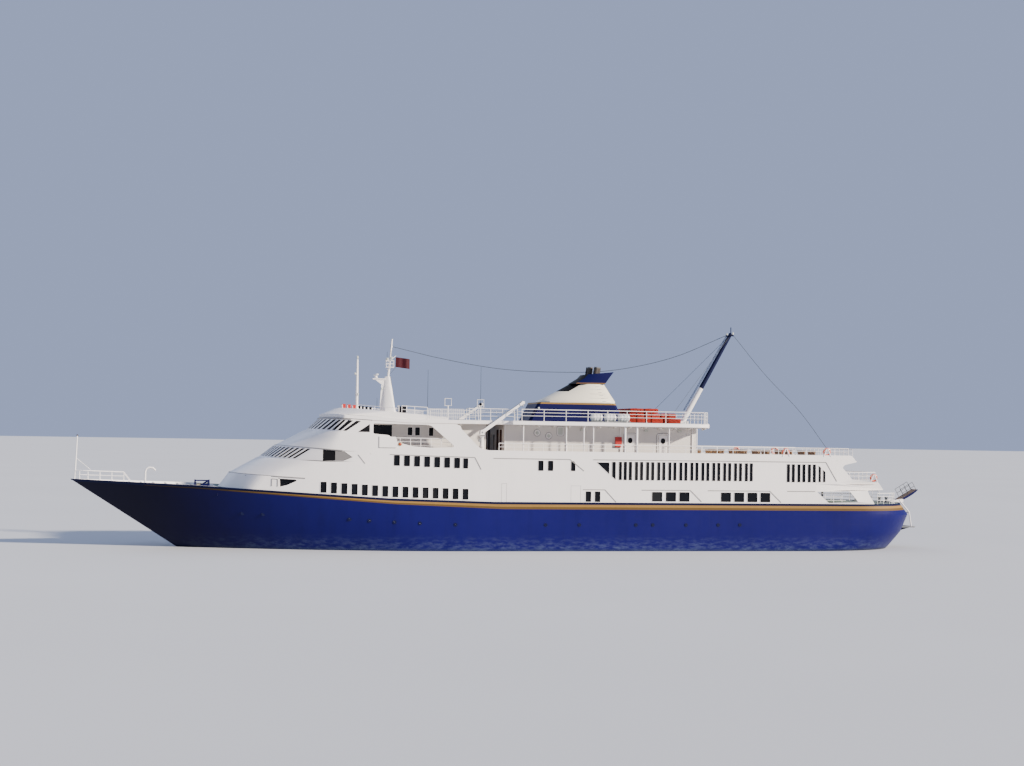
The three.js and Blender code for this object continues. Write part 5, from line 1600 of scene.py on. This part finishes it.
def bollards(piece, x, y, z):
    piece.box((x - 0.6, y - 0.22, z), (x + 0.6, y + 0.22, z + 0.06), "winch_grey")
    for dx in (-0.34, 0.34):
        piece.lathe((x + dx, y, z + 0.05), UP,
                    [(0, 0.16), (0.04, 0.13), (0.42, 0.13), (0.46, 0.17), (0.5, 0.175), (0.55, 0.15),
                     (0.57, 0.06)], "winch_grey", 18)


# Foredeck and stern

def build_foredeck():
    piece = Piece("foredeck_gear_skin")
    z = FOREDECK_Z
    piece.box((30.2, -1.1, z), (31.6, 1.1, z + 0.1), "winch_grey")
    piece.box((30.6, -0.28, z + 0.1), (31.2, 0.28, 5.42), "casing")
    piece.lathe((30.9, -1.3, 5.05), PORT,
                [(0, 0.2), (0.04, 0.22), (0.06, 0.14), (0.24, 0.14), (0.26, 0.3), (0.3, 0.38), (0.36, 0.3),
                (0.5, 0.27), (0.65, 0.3), (0.7, 0.38), (0.85, 0.38), (0.86, 0.2), (1.74, 0.2), (1.75, 0.38),
                (1.9, 0.38), (1.95, 0.3), (2.1, 0.27), (2.24, 0.3), (2.3, 0.38), (2.34, 0.3), (2.36, 0.14),
                (2.54, 0.14), (2.56, 0.22), (2.6, 0.2)], "winch_grey", 24)
    for y in (-0.75, 0.75):
        piece.tube([(31.15, y, 5.0), (32.2, y * 0.9, 4.72), (33.0, y * 0.8, 4.68)], 0.05, "steel", 8)
        for k in range(10):
            spot = Vector((31.2, y, 5.0)).lerp(Vector((32.9, y * 0.82, 4.72)), k / 9)
            piece.hoop(spot, PORT if k % 2 else UP, 0.055, 0.02, "steel", 8, 4)
        piece.lathe((33.0, y * 0.8, z), UP, [(0, 0.2), (0.08, 0.2), (0.1, 0.14)], "winch_grey", 16)
        bollards(piece, 29.2, math.copysign(1.8, y), z)
        piece.lathe((34.2, y * 0.7, z), UP,
                    [(0, 0.16), (0.3, 0.12), (0.5, 0.12), (0.52, 0.3), (0.56, 0.32), (0.6, 0.1)], "trim", 18)
    piece.box((28.9, -0.45, z), (29.7, 0.45, z + 0.4), "trim")
    piece.tube([(32.61, 0.9, z), (32.6, 0.9, 6.5), (32.5, 0.9, 6.76), (32.28, 0.9, 6.86),
                (31.95, 0.9, 6.82), (31.75, 0.9, 6.6)], 0.085, "trim", 12)
    piece.make(replaced=("foredeck_gear",))

    piece = Piece("foredeck_winch_skin")
    piece.box((27.0, 0.9, z), (28.5, 2.1, z + 0.08), "casing")
    for x in (27.16, 28.34):
        side = [(0.95, 4.65), (2.05, 4.65), (1.95, 5.3), (1.75, 5.88), (1.25, 5.88), (1.05, 5.3)]
        piece.prism([(x, y, level) for y, level in side], (0.12, 0, 0), "casing")
    drum = [(0, 0.4), (0.05, 0.4), (0.06, 0.24), (0.96, 0.24), (0.97, 0.4), (1.02, 0.4)]
    piece.lathe((27.3, 1.5, 5.25), AHEAD, drum, "winch_grey", 24)
    for k in range(14):
        piece.hoop((27.4 + 0.062 * k, 1.5, 5.25), AHEAD, 0.29, 0.035, "rope", 20, 5)
    piece.box((28.3, 1.3, 5.05), (28.48, 1.7, 5.45), "winch_grey")
    for y in (0.97, 1.97):
        piece.box((27.2, y, 5.76), (28.44, y + 0.06, 5.84), "casing")
        piece.prism([(x, y, level)
                     for x, level in ((27.2, 4.7), (28.42, 4.7), (28.42, 5.1), (27.75, 5.55), (27.2, 5.5))],
                     (0, 0.06, 0), "casing")
        piece.tube([(27.24, y + 0.03, 5.8), (28.4, y + 0.03, 5.1)], 0.05, "casing", 8)
    piece.make(replaced=("foredeck_winch",))

    piece = Piece("bow_rail_skin")
    def top(x):
        return height_on(SHEER_LINE, x) + 0.06
    stations = [34.4, 35.4, 36.4, 37.4, 38.1]
    port = [(x, max(0.12, side_of(x) - 0.09), top(x)) for x in stations]
    rail(piece, port + [(38.52, 0, top(38.5))] + [(x, -y, z) for x, y, z in reversed(port)], 0.72,
         (0.5, 1.0))
    for x, y, z in (port[0], (port[0][0], -port[0][1], port[0][2])):
        piece.tube([(x, y, z + 0.7), (x - 0.55, y * 1.06, z)], 0.03, "trim", 8)
    piece.tube([(38.5, 0, 5.85), (38.42, 0, 7.8), (38.36, 0, 9.5)], [0.065, 0.055, 0.045], "trim", 10)
    piece.lathe((38.36, 0, 9.48), UP, [(0, 0.02), (0.02, 0.07), (0.07, 0.09), (0.12, 0.05), (0.13, 0.01)],
                "gold", 12)
    piece.tube([(37.2, 0, 6.6), (38.42, 0, 7.6)], 0.025, "trim", 6)
    piece.make(replaced=("bow_rail",))


STERN_DECK = 4.25


def build_stern():
    piece = Piece("stern_bollards_skin")
    for y in (-2.6, 2.6):
        bollards(piece, -35.4, y, STERN_DECK)
    piece.box((-35.7, -0.6, STERN_DECK), (-34.7, 0.6, STERN_DECK + 0.06), "winch_grey")
    piece.lathe((-35.2, 0, STERN_DECK), UP,
                [(0, 0.3), (0.1, 0.3), (0.14, 0.16), (0.4, 0.16), (0.52, 0.26), (0.58, 0.26), (0.6, 0.1)],
                "winch_grey", 20)
    piece.make(replaced=("stern_bollards",))

    piece = Piece("stern_rail_skin")
    port = [(-33.6, 5.2, STERN_DECK), (-35.2, 4.4, STERN_DECK), (-36.3, 3.1, STERN_DECK),
            (-36.95, 1.4, STERN_DECK)]
    for sign in (1, -1):
        rail(piece, [(x, sign * y, z) for x, y, z in port])
        arm = [(-37.0, 4.3), (-38.28, 4.3), (-38.35, 4.4), (-38.35, 4.52), (-38.28, 4.6), (-38.1, 4.6),
               (-37.0, 4.42)]
        piece.prism([(x, sign * 0.85 - 0.08, z) for x, z in arm], (0, 0.16, 0), "trim")
    piece.box((-37.5, -1.45, STERN_DECK), (-36.85, 1.45, STERN_DECK + 0.07), "winch_grey")
    piece.make(replaced=("stern_rail",))

    piece = Piece("stern_platform_skin")
    plan = [(-39.28, 1.5), (-39.1, 1.68), (-37.6, 1.68)]
    outline = plan + [(x, -y) for x, y in reversed(plan)]
    piece.prism([(x, y, 1.92) for x, y in outline], (0, 0, 0.1), "winch_grey")
    for y in (-1.3, 1.3):
        piece.tube([(-38.97, y, 2.0), (-38.78, y, 3.2), (-38.7, y, 3.42), (-38.55, y, 3.6),
                    (-37.7, y, 4.54)], 0.06, "trim", 12)
        piece.tube([(-39.2, y, 2.05), (-39.2, y, 2.02)], 0.05, "trim", 8)
    piece.tube([(-38.76, -1.3, 3.33), (-38.76, 1.3, 3.33)], 0.05, "trim", 12)
    for y in (-0.9, 0.9):
        piece.prism([(-39.1, y, 1.92), (-37.9, y, 1.92), (-37.9, y, 1.6)], (0, 0.06, 0), "navy")
    piece.make(replaced=("stern_platform",))

    piece = Piece("gangway_skin")
    origin = Vector((-38.2, 0, 4.45))
    along = Vector((-math.cos(0.52), 0, math.sin(0.52)))
    up = Vector((math.sin(0.52), 0, math.cos(0.52)))

    def at(u, y, w):
        return origin + along * u + up * w + Vector((0, y, 0))
    lens = [(0.06, -0.06), (0.4, -0.1), (0.8, -0.13), (1.4, -0.13), (1.8, -0.08), (2.08, 0.0), (2.08, 0.06),
            (0.06, 0.07)]
    for y in (-0.57, 0.57):
        piece.prism([at(u, y - 0.03, w) for u, w in lens], (0, 0.06, 0), "casing")
    for k in range(14):
        u = 0.1 + 0.143 * k
        piece.prism([at(u, -0.55, 0.0), at(u + 0.12, -0.55, 0.0), at(u + 0.12, -0.55, 0.045),
                     at(u, -0.55, 0.045)], (0, 1.1, 0), "seat_wood")
    piece.tube([at(0, -0.74, 0), at(0, 0.74, 0)], 0.07, "steel", 14)
    for y in (-0.56, 0.56):
        for u in (0.5, 1.0, 1.5, 1.93):
            piece.tube([at(u, y, 0.05), at(u, y, 0.93)], 0.02, "wire", 6)
        for w in (0.5, 0.92):
            piece.tube([at(0.5, y, w), at(1.93, y, w)], 0.022, "wire", 6)
    piece.lathe(at(2.04, -0.5, -0.03), PORT, [(0, 0.05), (1.0, 0.05)], "rubber", 12)
    piece.make(body="gangway", replaced=("stern_gangway",))


# Under water

def build_underwater():
    """Propellers and rudders, and finishes for what stays as the frame has it."""
    for name, sign in SIDES:
        y = sign * 2.6
        piece = Piece("propeller_skin_" + name)
        piece.lathe((-30.02, y, -2.35), (-1, 0, 0),
                    [(0, 0.23), (0.3, 0.235), (0.6, 0.2), (0.75, 0.12), (0.83, 0.02)], "bronze", 24)
        for k in range(4):
            turn = math.pi / 2 * k
            rows = []
            for share in (0.12, 0.3, 0.5, 0.7, 0.88, 1.0):
                radius = 1.17 * share
                tip = 1.0 if share < 0.95 else 0.6
                chord = 0.62 * math.sin(math.pi * min(1.0, 0.2 + 0.68 * share)) * tip * (0.5 + 0.7 * share)
                twist = math.radians(lerp(62, 28, share))
                row = []
                for c, thick in ((-0.5, 0.0), (-0.25, 0.03), (0, 0.045), (0.25, 0.03), (0.5, 0.0),
                                 (0.25, -0.03), (0, -0.045), (-0.25, -0.03)):
                    across = c * chord
                    dx = across * math.cos(twist) * sign + thick * (1.2 - share) * math.sin(twist)
                    tangent = across * math.sin(twist) - thick * (1.2 - share) * math.cos(twist) * sign
                    angle = turn + tangent / max(radius, 0.3)
                    row.append((-30.44 + dx, y + radius * math.sin(angle), -2.35 + radius * math.cos(angle)))
                rows.append(row)
            capped(piece, rows, "bronze")
        piece.make(body=name + "_propeller", replaced=("propeller_" + name,), angle=60)

        piece = Piece("rudder_skin_" + name)
        rows = []
        for z, fore, aft in ((-3.33, -31.92, -33.56), (-3.2, -31.9, -33.6), (-2.0, -31.88, -33.66),
                             (-0.85, -31.86, -33.72), (-0.74, -31.86, -33.74)):
            profile = ((0, 0.0), (0.05, 0.07), (0.2, 0.115), (0.45, 0.1), (0.8, 0.04), (1.0, 0.012))
            port = [(lerp(fore, aft, t), y + half, z) for t, half in profile]
            starboard = [(lerp(fore, aft, t), y - half, z) for t, half in reversed(profile[1:])]
            rows.append(port + starboard)
        capped(piece, rows, "antifouling")
        piece.make(body=name + "_rudder", replaced=("rudder_" + name,), angle=50)
    for node in ("skeg", "shaft_tube_port", "shaft_tube_starboard"):
        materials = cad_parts[node].data.materials
        materials.clear()
        materials.append(finish("antifouling"))


# Stays

def sagging(points):
    """A smooth line through the points."""
    path = [Vector(p) for p in points]
    ends = [2 * path[0] - path[1], *path, 2 * path[-1] - path[-2]]
    spans = zip(ends, ends[1:], ends[2:], ends[3:])
    return [through(*span, k / 6) for span in spans for k in range(6)] + [path[-1]]


def build_rigging():
    piece = Piece("main_stay_skin")
    piece.tube(sagging([(11.15, 0, 17.9), (6.4, 0, 16.9), (1.23, 0, 16.15), (-4.2, 0, 15.98),
                        (-9.49, 0, 16.28), (-15.2, 0, 17.58), (-20.52, 0, 19.81)]), 0.026, "wire", 6)
    piece.make(replaced=("main_stay",))
    piece = Piece("backstay_skin")
    piece.tube(sagging([(-21.28, 0, 19.81), (-24.5, 0, 16.2), (-28.06, 0, 12.75), (-30.8, 0, 9.34)]), 0.02,
               "wire", 6)
    piece.make(replaced=("backstay",))
    piece = Piece("stays")
    for sign in (1, -1):
        piece.tube([(-20.7, sign * 0.2, 19.6), (-13.4, sign * 3.9, 11.4)], 0.014, "wire", 5)
    piece.make()


# Fittings

def build_deck_fittings():
    """Lifebuoys, benches, lockers and what stands on the roof."""
    piece = Piece("lifebuoys")
    for x, z, on in ((-24.05, 8.97, 6.3), (-28.05, 9.03, 6.3), (-32.92, 6.7, 5.8)):
        for sign in (1, -1):
            y = sign * (on - 0.02)
            piece.hoop((x, y, z), PORT, 0.3, 0.075, "buoy", 28, 10)
            for k in range(4):
                turn = math.pi / 4 + math.pi / 2 * k
                spot = Vector((x + 0.3 * math.cos(turn), y, z + 0.3 * math.sin(turn)))
                piece.hoop(spot, (-math.sin(turn), 0, math.cos(turn)), 0.078, 0.02, "band", 12, 6)
            for dx in (-0.35, 0.35):
                piece.tube([(x + dx, y + sign * 0.1, z - 0.42), (x + dx * 0.12, y + sign * 0.1, z + 0.3)],
                           0.05, "trim", 8)
            piece.tube([(x, y, z + 0.2), (x, y + sign * 0.1, z + 0.2)], 0.03, "trim", 6)
    piece.make()

    piece = Piece("deck_seats")
    for y in (-3.9, -1.5, 1.5, 3.9):
        for k in range(5):
            x = -18.4 - 2.3 * k
            for dx, tilt in ((-0.35, -0.12), (0.35, 0.12)):
                for s in range(4):
                    edge = x + dx - 0.3 + 0.11 * s
                    piece.box((edge, y - 0.8, 8.62), (edge + 0.08, y + 0.8, 8.66), "seat_wood")
                back = x + dx * 0.1
                board = ((back, 8.66), (back + 0.04, 8.66), (back + 0.04 - tilt, 9.1), (back - tilt, 9.1))
                piece.prism([(u, y - 0.8, z) for u, z in board], (0, 1.6, 0), "seat_wood")
            leg = ((-0.55, 8.22), (0.55, 8.22), (0.5, 8.3), (0.06, 8.62), (-0.06, 8.62), (-0.5, 8.3))
            for dy in (-0.7, 0.7):
                piece.prism([(x + u, y + dy, z) for u, z in leg], (0, 0.04, 0), "steel")
    piece.make()

    piece = Piece("roof_fittings")
    for x in (15.6, 15.15, 14.7):
        z = roof_top(x)
        piece.box((x - 0.13, 0.8, z), (x + 0.13, 1.5, z + 0.4), "red")
        piece.box((x + 0.14, 0.75, z), (x + 0.18, 1.55, z + 0.34), "trim")
    for x in (14.25, 13.95, 13.6, 13.25):
        z = roof_top(x)
        piece.lathe((x, 1.5, z), UP,
                    [(0, 0.13), (0.05, 0.13), (0.07, 0.08), (0.2, 0.08), (0.22, 0.14), (0.34, 0.14),
                     (0.38, 0.08)], "black", 14)
        piece.box((x - 0.16, 1.7, z), (x - 0.06, 1.8, z + 0.3), "trim")
    z = roof_top(10.2)
    piece.box((10.72, 4.9, z + 0.12), (11.32, 5.4, z + 0.68), "black")
    for x in (10.68, 11.36):
        piece.tube([(x, 4.86, z), (x, 4.86, z + 0.74), (x, 5.44, z + 0.74), (x, 5.44, z)], 0.035, "trim", 6)
    for x, y, top in ((7.7, -1.0, 4.4), (3.0, 0.0, 4.9), (12.8, 2.2, 1.2)):
        z = roof_top(x) if x > 7.2 else TOP_DECK_Z
        piece.tube([(x, y, z), (x, y, z + top)], [0.024, 0.012], "wire", 6)
    for x, low, high in ((6.0, 12.7, 13.35), (3.0, 12.6, 13.3)):
        piece.lathe((x, 0, 11.4), UP, [(0, 0.14), (0.04, 0.14), (0.06, 0.05), (low - 11.4, 0.05)], "trim",
                    12)
        piece.tube([(x - 0.3, 0, low), (x + 0.3, 0, low), (x + 0.3, 0, high), (x - 0.3, 0, high)], 0.035,
                   "trim", 6, closed=True)
    piece.lathe((3.0, 0.02, 12.75), UP, [(0, 0.02), (0.04, 0.11), (0.14, 0.15), (0.24, 0.11), (0.28, 0.02)],
                "black", 16)
    for sign in (-1, 1):
        path = [(x, sign * y, roof_top(x) + 0.42)
                for x, y in ((9.2, 5.2), (11.4, 4.6), (13.2, 3.6), (14.6, 2.4))]
        piece.tube(path, 0.02, "trim", 6)
        for x, y, z in path:
            piece.tube([(x, y, z - 0.42), (x, y, z)], 0.022, "trim", 6)
    piece.tube([(11.42, 0, 16.6), (10.85, 0, 17.1)], 0.03, "trim", 6)
    piece.tube([(10.85, 0, 17.1), (10.87, 0, 16.0), (11.4, 0, 15.4)], 0.012, "wire", 5)
    piece.box((-8.9, -0.8, 11.4), (-8.4, -0.3, 11.45), "trim")
    piece.make()


def build_flag():
    """Plain flag on the halyard behind the main mast, waved out by the wind."""
    hoist, low, high, thick = 10.86, 16.08, 16.98, 0.003
    waves = [(hoist - 1.3 * k / 24, 0.09 * math.sin(k * 0.45) * k / 24) for k in range(25)]
    edges = ((thick, low), (thick, high), (-thick, high), (-thick, low), (thick, low))
    piece = Piece("flag")
    piece.grid([[(x, y + side, z - 0.12 * (hoist - x)) for x, y in waves] for side, z in edges], "flag")
    for k in (0, -1):
        x, y = waves[k]
        piece.grid([[(x, y + side, z - 0.12 * (hoist - x)) for z in (low, high)]
                    for side in (thick, -thick)], "flag")
    cloth = piece.make()
    along = sum(math.dist(a, b) for a, b in zip(waves, waves[1:]))


# Properties

class FerrySizes(bpy.types.PropertyGroup):
    stanchion_pitch: FloatProperty(
        name="Stanchion Pitch",
        description="Distance between two stanchions of a rail, on the full-size ship", default=1.02,
        min=0.3, max=3.0, unit="LENGTH")
    rail_radius: FloatProperty(
        name="Rail Radius", description="Radius of a rail's bars, on the full-size ship",
        default=0.024, min=0.005, max=0.08, unit="LENGTH")
    floor_reach: FloatProperty(
        name="Floor Reach", description="Distance from the model to the edge of the floor",
        default=1500.0, min=50.0, max=3000.0, unit="LENGTH")


def colour_property(label, value):
    return FloatVectorProperty(
        name=label, description=f"Base colour of the {label.lower()}",
        default=(*value, 1.0), size=4, min=0.0, max=1.0, subtype="COLOR")


class FerryColours(bpy.types.PropertyGroup):
    hull: colour_property("Hull Paint", (0.0045, 0.003, 0.085))
    navy: colour_property("Hull Edge Paint", (0.004, 0.006, 0.035))
    gold: colour_property("Stripe Paint", (0.27, 0.15, 0.035))
    house: colour_property("House Paint", (0.85, 0.82, 0.80))
    cream: colour_property("Inner Wall Paint", (0.74, 0.70, 0.65))
    casing: colour_property("Funnel Casing Paint", (0.003, 0.0035, 0.055))
    funnel: colour_property("Funnel Paint", (0.84, 0.78, 0.63))
    deck: colour_property("Deck Paint", (0.16, 0.22, 0.19))
    cover: colour_property("Float Covers", (0.34, 0.02, 0.008))


# Camera and light
FOCAL_PIXELS, HORIZON_ROW, MIDDLE_ROW = 1644, 438.2, 383
CAMERA_TURN, CAMERA_ROLL = 13.0, 0.87
CAMERA_PLACE = (16.92, 73.08, 4.925)
LENS, SENSOR_WIDTH, FARTHEST = 57.8, 36.0, 5000.0
SKY, SKY_STRENGTH = (0.50, 0.61, 0.95, 1.0), 0.68
LIGHTS = (
    ("sun", (0.74, -0.52, -0.36), 9.6, (1.0, 0.89, 0.76), 3.0),
    ("fill", (-0.3, 0.9, -0.5), 0.5, (0.8, 0.86, 1.0), 30.0),
)


def build_stage():
    scene = bpy.context.scene
    floor = bpy.data.meshes.new("floor")
    reach = scene.ferry_sizes.floor_reach
    turns = [math.tau * k / 96 for k in range(96)]
    floor.from_pydata([(reach * math.cos(t), reach * math.sin(t), 0) for t in turns], [], [range(96)])
    floor.materials.append(finish("floor"))
    ground = bpy.data.objects.new("floor", floor)
    scene.collection.objects.link(ground)
    ground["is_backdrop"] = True
    world = bpy.data.worlds.new("studio")
    world.use_nodes = True
    background = world.node_tree.nodes["Background"]
    background.inputs["Color"].default_value = SKY
    background.inputs["Strength"].default_value = SKY_STRENGTH
    scene.world = world
    for name, aim, power, colour, angle in LIGHTS:
        light = bpy.data.lights.new(name, "SUN")
        light.energy, light.color, light.angle = power, colour, math.radians(angle)
        lamp = bpy.data.objects.new(name, light)
        lamp.rotation_euler = Vector(aim).to_track_quat("-Z", "Y").to_euler()
        scene.collection.objects.link(lamp)
    camera = bpy.data.cameras.new("camera")
    camera.lens, camera.sensor_width, camera.clip_end = LENS, SENSOR_WIDTH, FARTHEST
    view = bpy.data.objects.new("camera", camera)
    turn, roll = math.radians(CAMERA_TURN), math.radians(CAMERA_ROLL)
    pitch = math.atan((HORIZON_ROW - MIDDLE_ROW) / FOCAL_PIXELS)
    ahead = Vector((-math.sin(turn) * math.cos(pitch), -math.cos(turn) * math.cos(pitch), math.sin(pitch)))
    right = ahead.cross(Vector(UP)).normalized()
    up = right.cross(ahead)
    side = right * math.cos(roll) + up * math.sin(roll)
    over = up * math.cos(roll) - right * math.sin(roll)
    axes = Matrix((side, over, -ahead)).transposed().to_4x4()
    view.matrix_world = Matrix.Translation(CAMERA_PLACE) @ axes
    scene.collection.objects.link(view)
    scene.camera = view


# Operators

class FERRY_OT_stage(bpy.types.Operator):
    """Makes the pale floor, the soft light and the camera."""
    bl_idname = "ferry.stage"
    bl_label = "Stage, Lights and Camera"

    def execute(self, context):
        build_stage()
        return {"FINISHED"}


class FERRY_OT_hull(bpy.types.Operator):
    """Builds the hull with its stripes, portholes, bulwark and foredeck."""
    bl_idname = "ferry.hull"
    bl_label = "Hull"

    def execute(self, context):
        build_hull()
        return {"FINISHED"}


class FERRY_OT_houses(bpy.types.Operator):
    """Builds the lower and upper deckhouses and the side aft of them."""
    bl_idname = "ferry.houses"
    bl_label = "Deckhouses"

    def execute(self, context):
        build_lower_house()
        build_upper_house()
        build_after_side()
        return {"FINISHED"}


class FERRY_OT_sun_deck(bpy.types.Operator):
    """Builds the sun deck, the side screens, the deckhouse on it and its doors."""
    bl_idname = "ferry.sun_deck"
    bl_label = "Sun Deck"

    def execute(self, context):
        build_sun_deck()
        build_side_screens()
        build_sun_house()
        build_doors()
        return {"FINISHED"}


class FERRY_OT_bridge(bpy.types.Operator):
    """Builds the bridge with its windows and roof."""
    bl_idname = "ferry.bridge"
    bl_label = "Bridge"

    def execute(self, context):
        build_bridge()
        build_roof()
        return {"FINISHED"}


class FERRY_OT_top_deck(bpy.types.Operator):
    """Builds the top deck with its notches, pillars and rails."""
    bl_idname = "ferry.top_deck"
    bl_label = "Top Deck"

    def execute(self, context):
        build_top_deck()
        build_top_rails()
        return {"FINISHED"}


class FERRY_OT_funnel(bpy.types.Operator):
    """Builds the funnel casing, the funnel and its wing with the pipes."""
    bl_idname = "ferry.funnel"
    bl_label = "Funnel"

    def execute(self, context):
        build_funnel()
        return {"FINISHED"}


class FERRY_OT_masts(bpy.types.Operator):
    """Builds the three masts, the radar scanner and the stays."""
    bl_idname = "ferry.masts"
    bl_label = "Masts and Stays"

    def execute(self, context):
        build_masts()
        build_rigging()
        return {"FINISHED"}


class FERRY_OT_cranes(bpy.types.Operator):
    """Builds the two cranes."""
    bl_idname = "ferry.cranes"
    bl_label = "Cranes"

    def execute(self, context):
        build_cranes()
        return {"FINISHED"}


class FERRY_OT_safety_gear(bpy.types.Operator):
    """Builds the liferaft shells and the stack of floats."""
    bl_idname = "ferry.safety_gear"
    bl_label = "Safety Gear"

    def execute(self, context):
        build_liferafts()
        build_float_stack()
        return {"FINISHED"}


class FERRY_OT_rails(bpy.types.Operator):
    """Builds the rails of the sun deck and the terrace."""
    bl_idname = "ferry.rails"
    bl_label = "Rails"

    def execute(self, context):
        build_sun_rails()
        return {"FINISHED"}


class FERRY_OT_foredeck(bpy.types.Operator):
    """Builds the windlass, winch, bollards and bow rail."""
    bl_idname = "ferry.foredeck"
    bl_label = "Foredeck"

    def execute(self, context):
        build_foredeck()
        return {"FINISHED"}


class FERRY_OT_stern(bpy.types.Operator):
    """Builds the stern rail, bollards and gangway."""
    bl_idname = "ferry.stern"
    bl_label = "Stern"

    def execute(self, context):
        build_stern()
        return {"FINISHED"}


class FERRY_OT_underwater(bpy.types.Operator):
    """Builds the propellers and rudders, and finishes the shaft tubes and skeg."""
    bl_idname = "ferry.underwater"
    bl_label = "Underwater Gear"

    def execute(self, context):
        build_underwater()
        return {"FINISHED"}


class FERRY_OT_fittings(bpy.types.Operator):
    """Builds lifebuoys, seats, the fittings on the roof and the flag."""
    bl_idname = "ferry.fittings"
    bl_label = "Deck Fittings"

    def execute(self, context):
        build_deck_fittings()
        build_flag()
        return {"FINISHED"}


OPERATORS = (
    FERRY_OT_stage,
    FERRY_OT_hull,
    FERRY_OT_houses,
    FERRY_OT_sun_deck,
    FERRY_OT_bridge,
    FERRY_OT_top_deck,
    FERRY_OT_funnel,
    FERRY_OT_masts,
    FERRY_OT_cranes,
    FERRY_OT_safety_gear,
    FERRY_OT_rails,
    FERRY_OT_foredeck,
    FERRY_OT_stern,
    FERRY_OT_underwater,
    FERRY_OT_fittings,
)


# Panel and registration

class FERRY_PT_panel(bpy.types.Panel):
    bl_idname = "FERRY_PT_panel"
    bl_label = "Passenger Ferry"
    bl_space_type = "VIEW_3D"
    bl_region_type = "UI"
    bl_category = "Ferry"

    def draw(self, context):
        for group in (context.scene.ferry_sizes, context.scene.ferry_colours):
            for name in group.__annotations__:
                self.layout.prop(group, name)
        for kind in OPERATORS:
            self.layout.operator(kind.bl_idname)


CLASSES = (FerrySizes, FerryColours, *OPERATORS, FERRY_PT_panel)


def register():
    for kind in CLASSES:
        bpy.utils.register_class(kind)
    bpy.types.Scene.ferry_sizes = PointerProperty(type=FerrySizes)
    bpy.types.Scene.ferry_colours = PointerProperty(type=FerryColours)


def unregister():
    del bpy.types.Scene.ferry_colours
    del bpy.types.Scene.ferry_sizes
    for kind in reversed(CLASSES):
        bpy.utils.unregister_class(kind)


def main():
    register()
    for kind in OPERATORS:
        group, name = kind.bl_idname.split(".")
        getattr(getattr(bpy.ops, group), name)()
    sizes = {"cad": CAD_BOX, "visual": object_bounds()}
    plain = {name: [[round(value, 6) for value in corner] for corner in box] for name, box in sizes.items()}


if __name__ == "__main__":
    main()
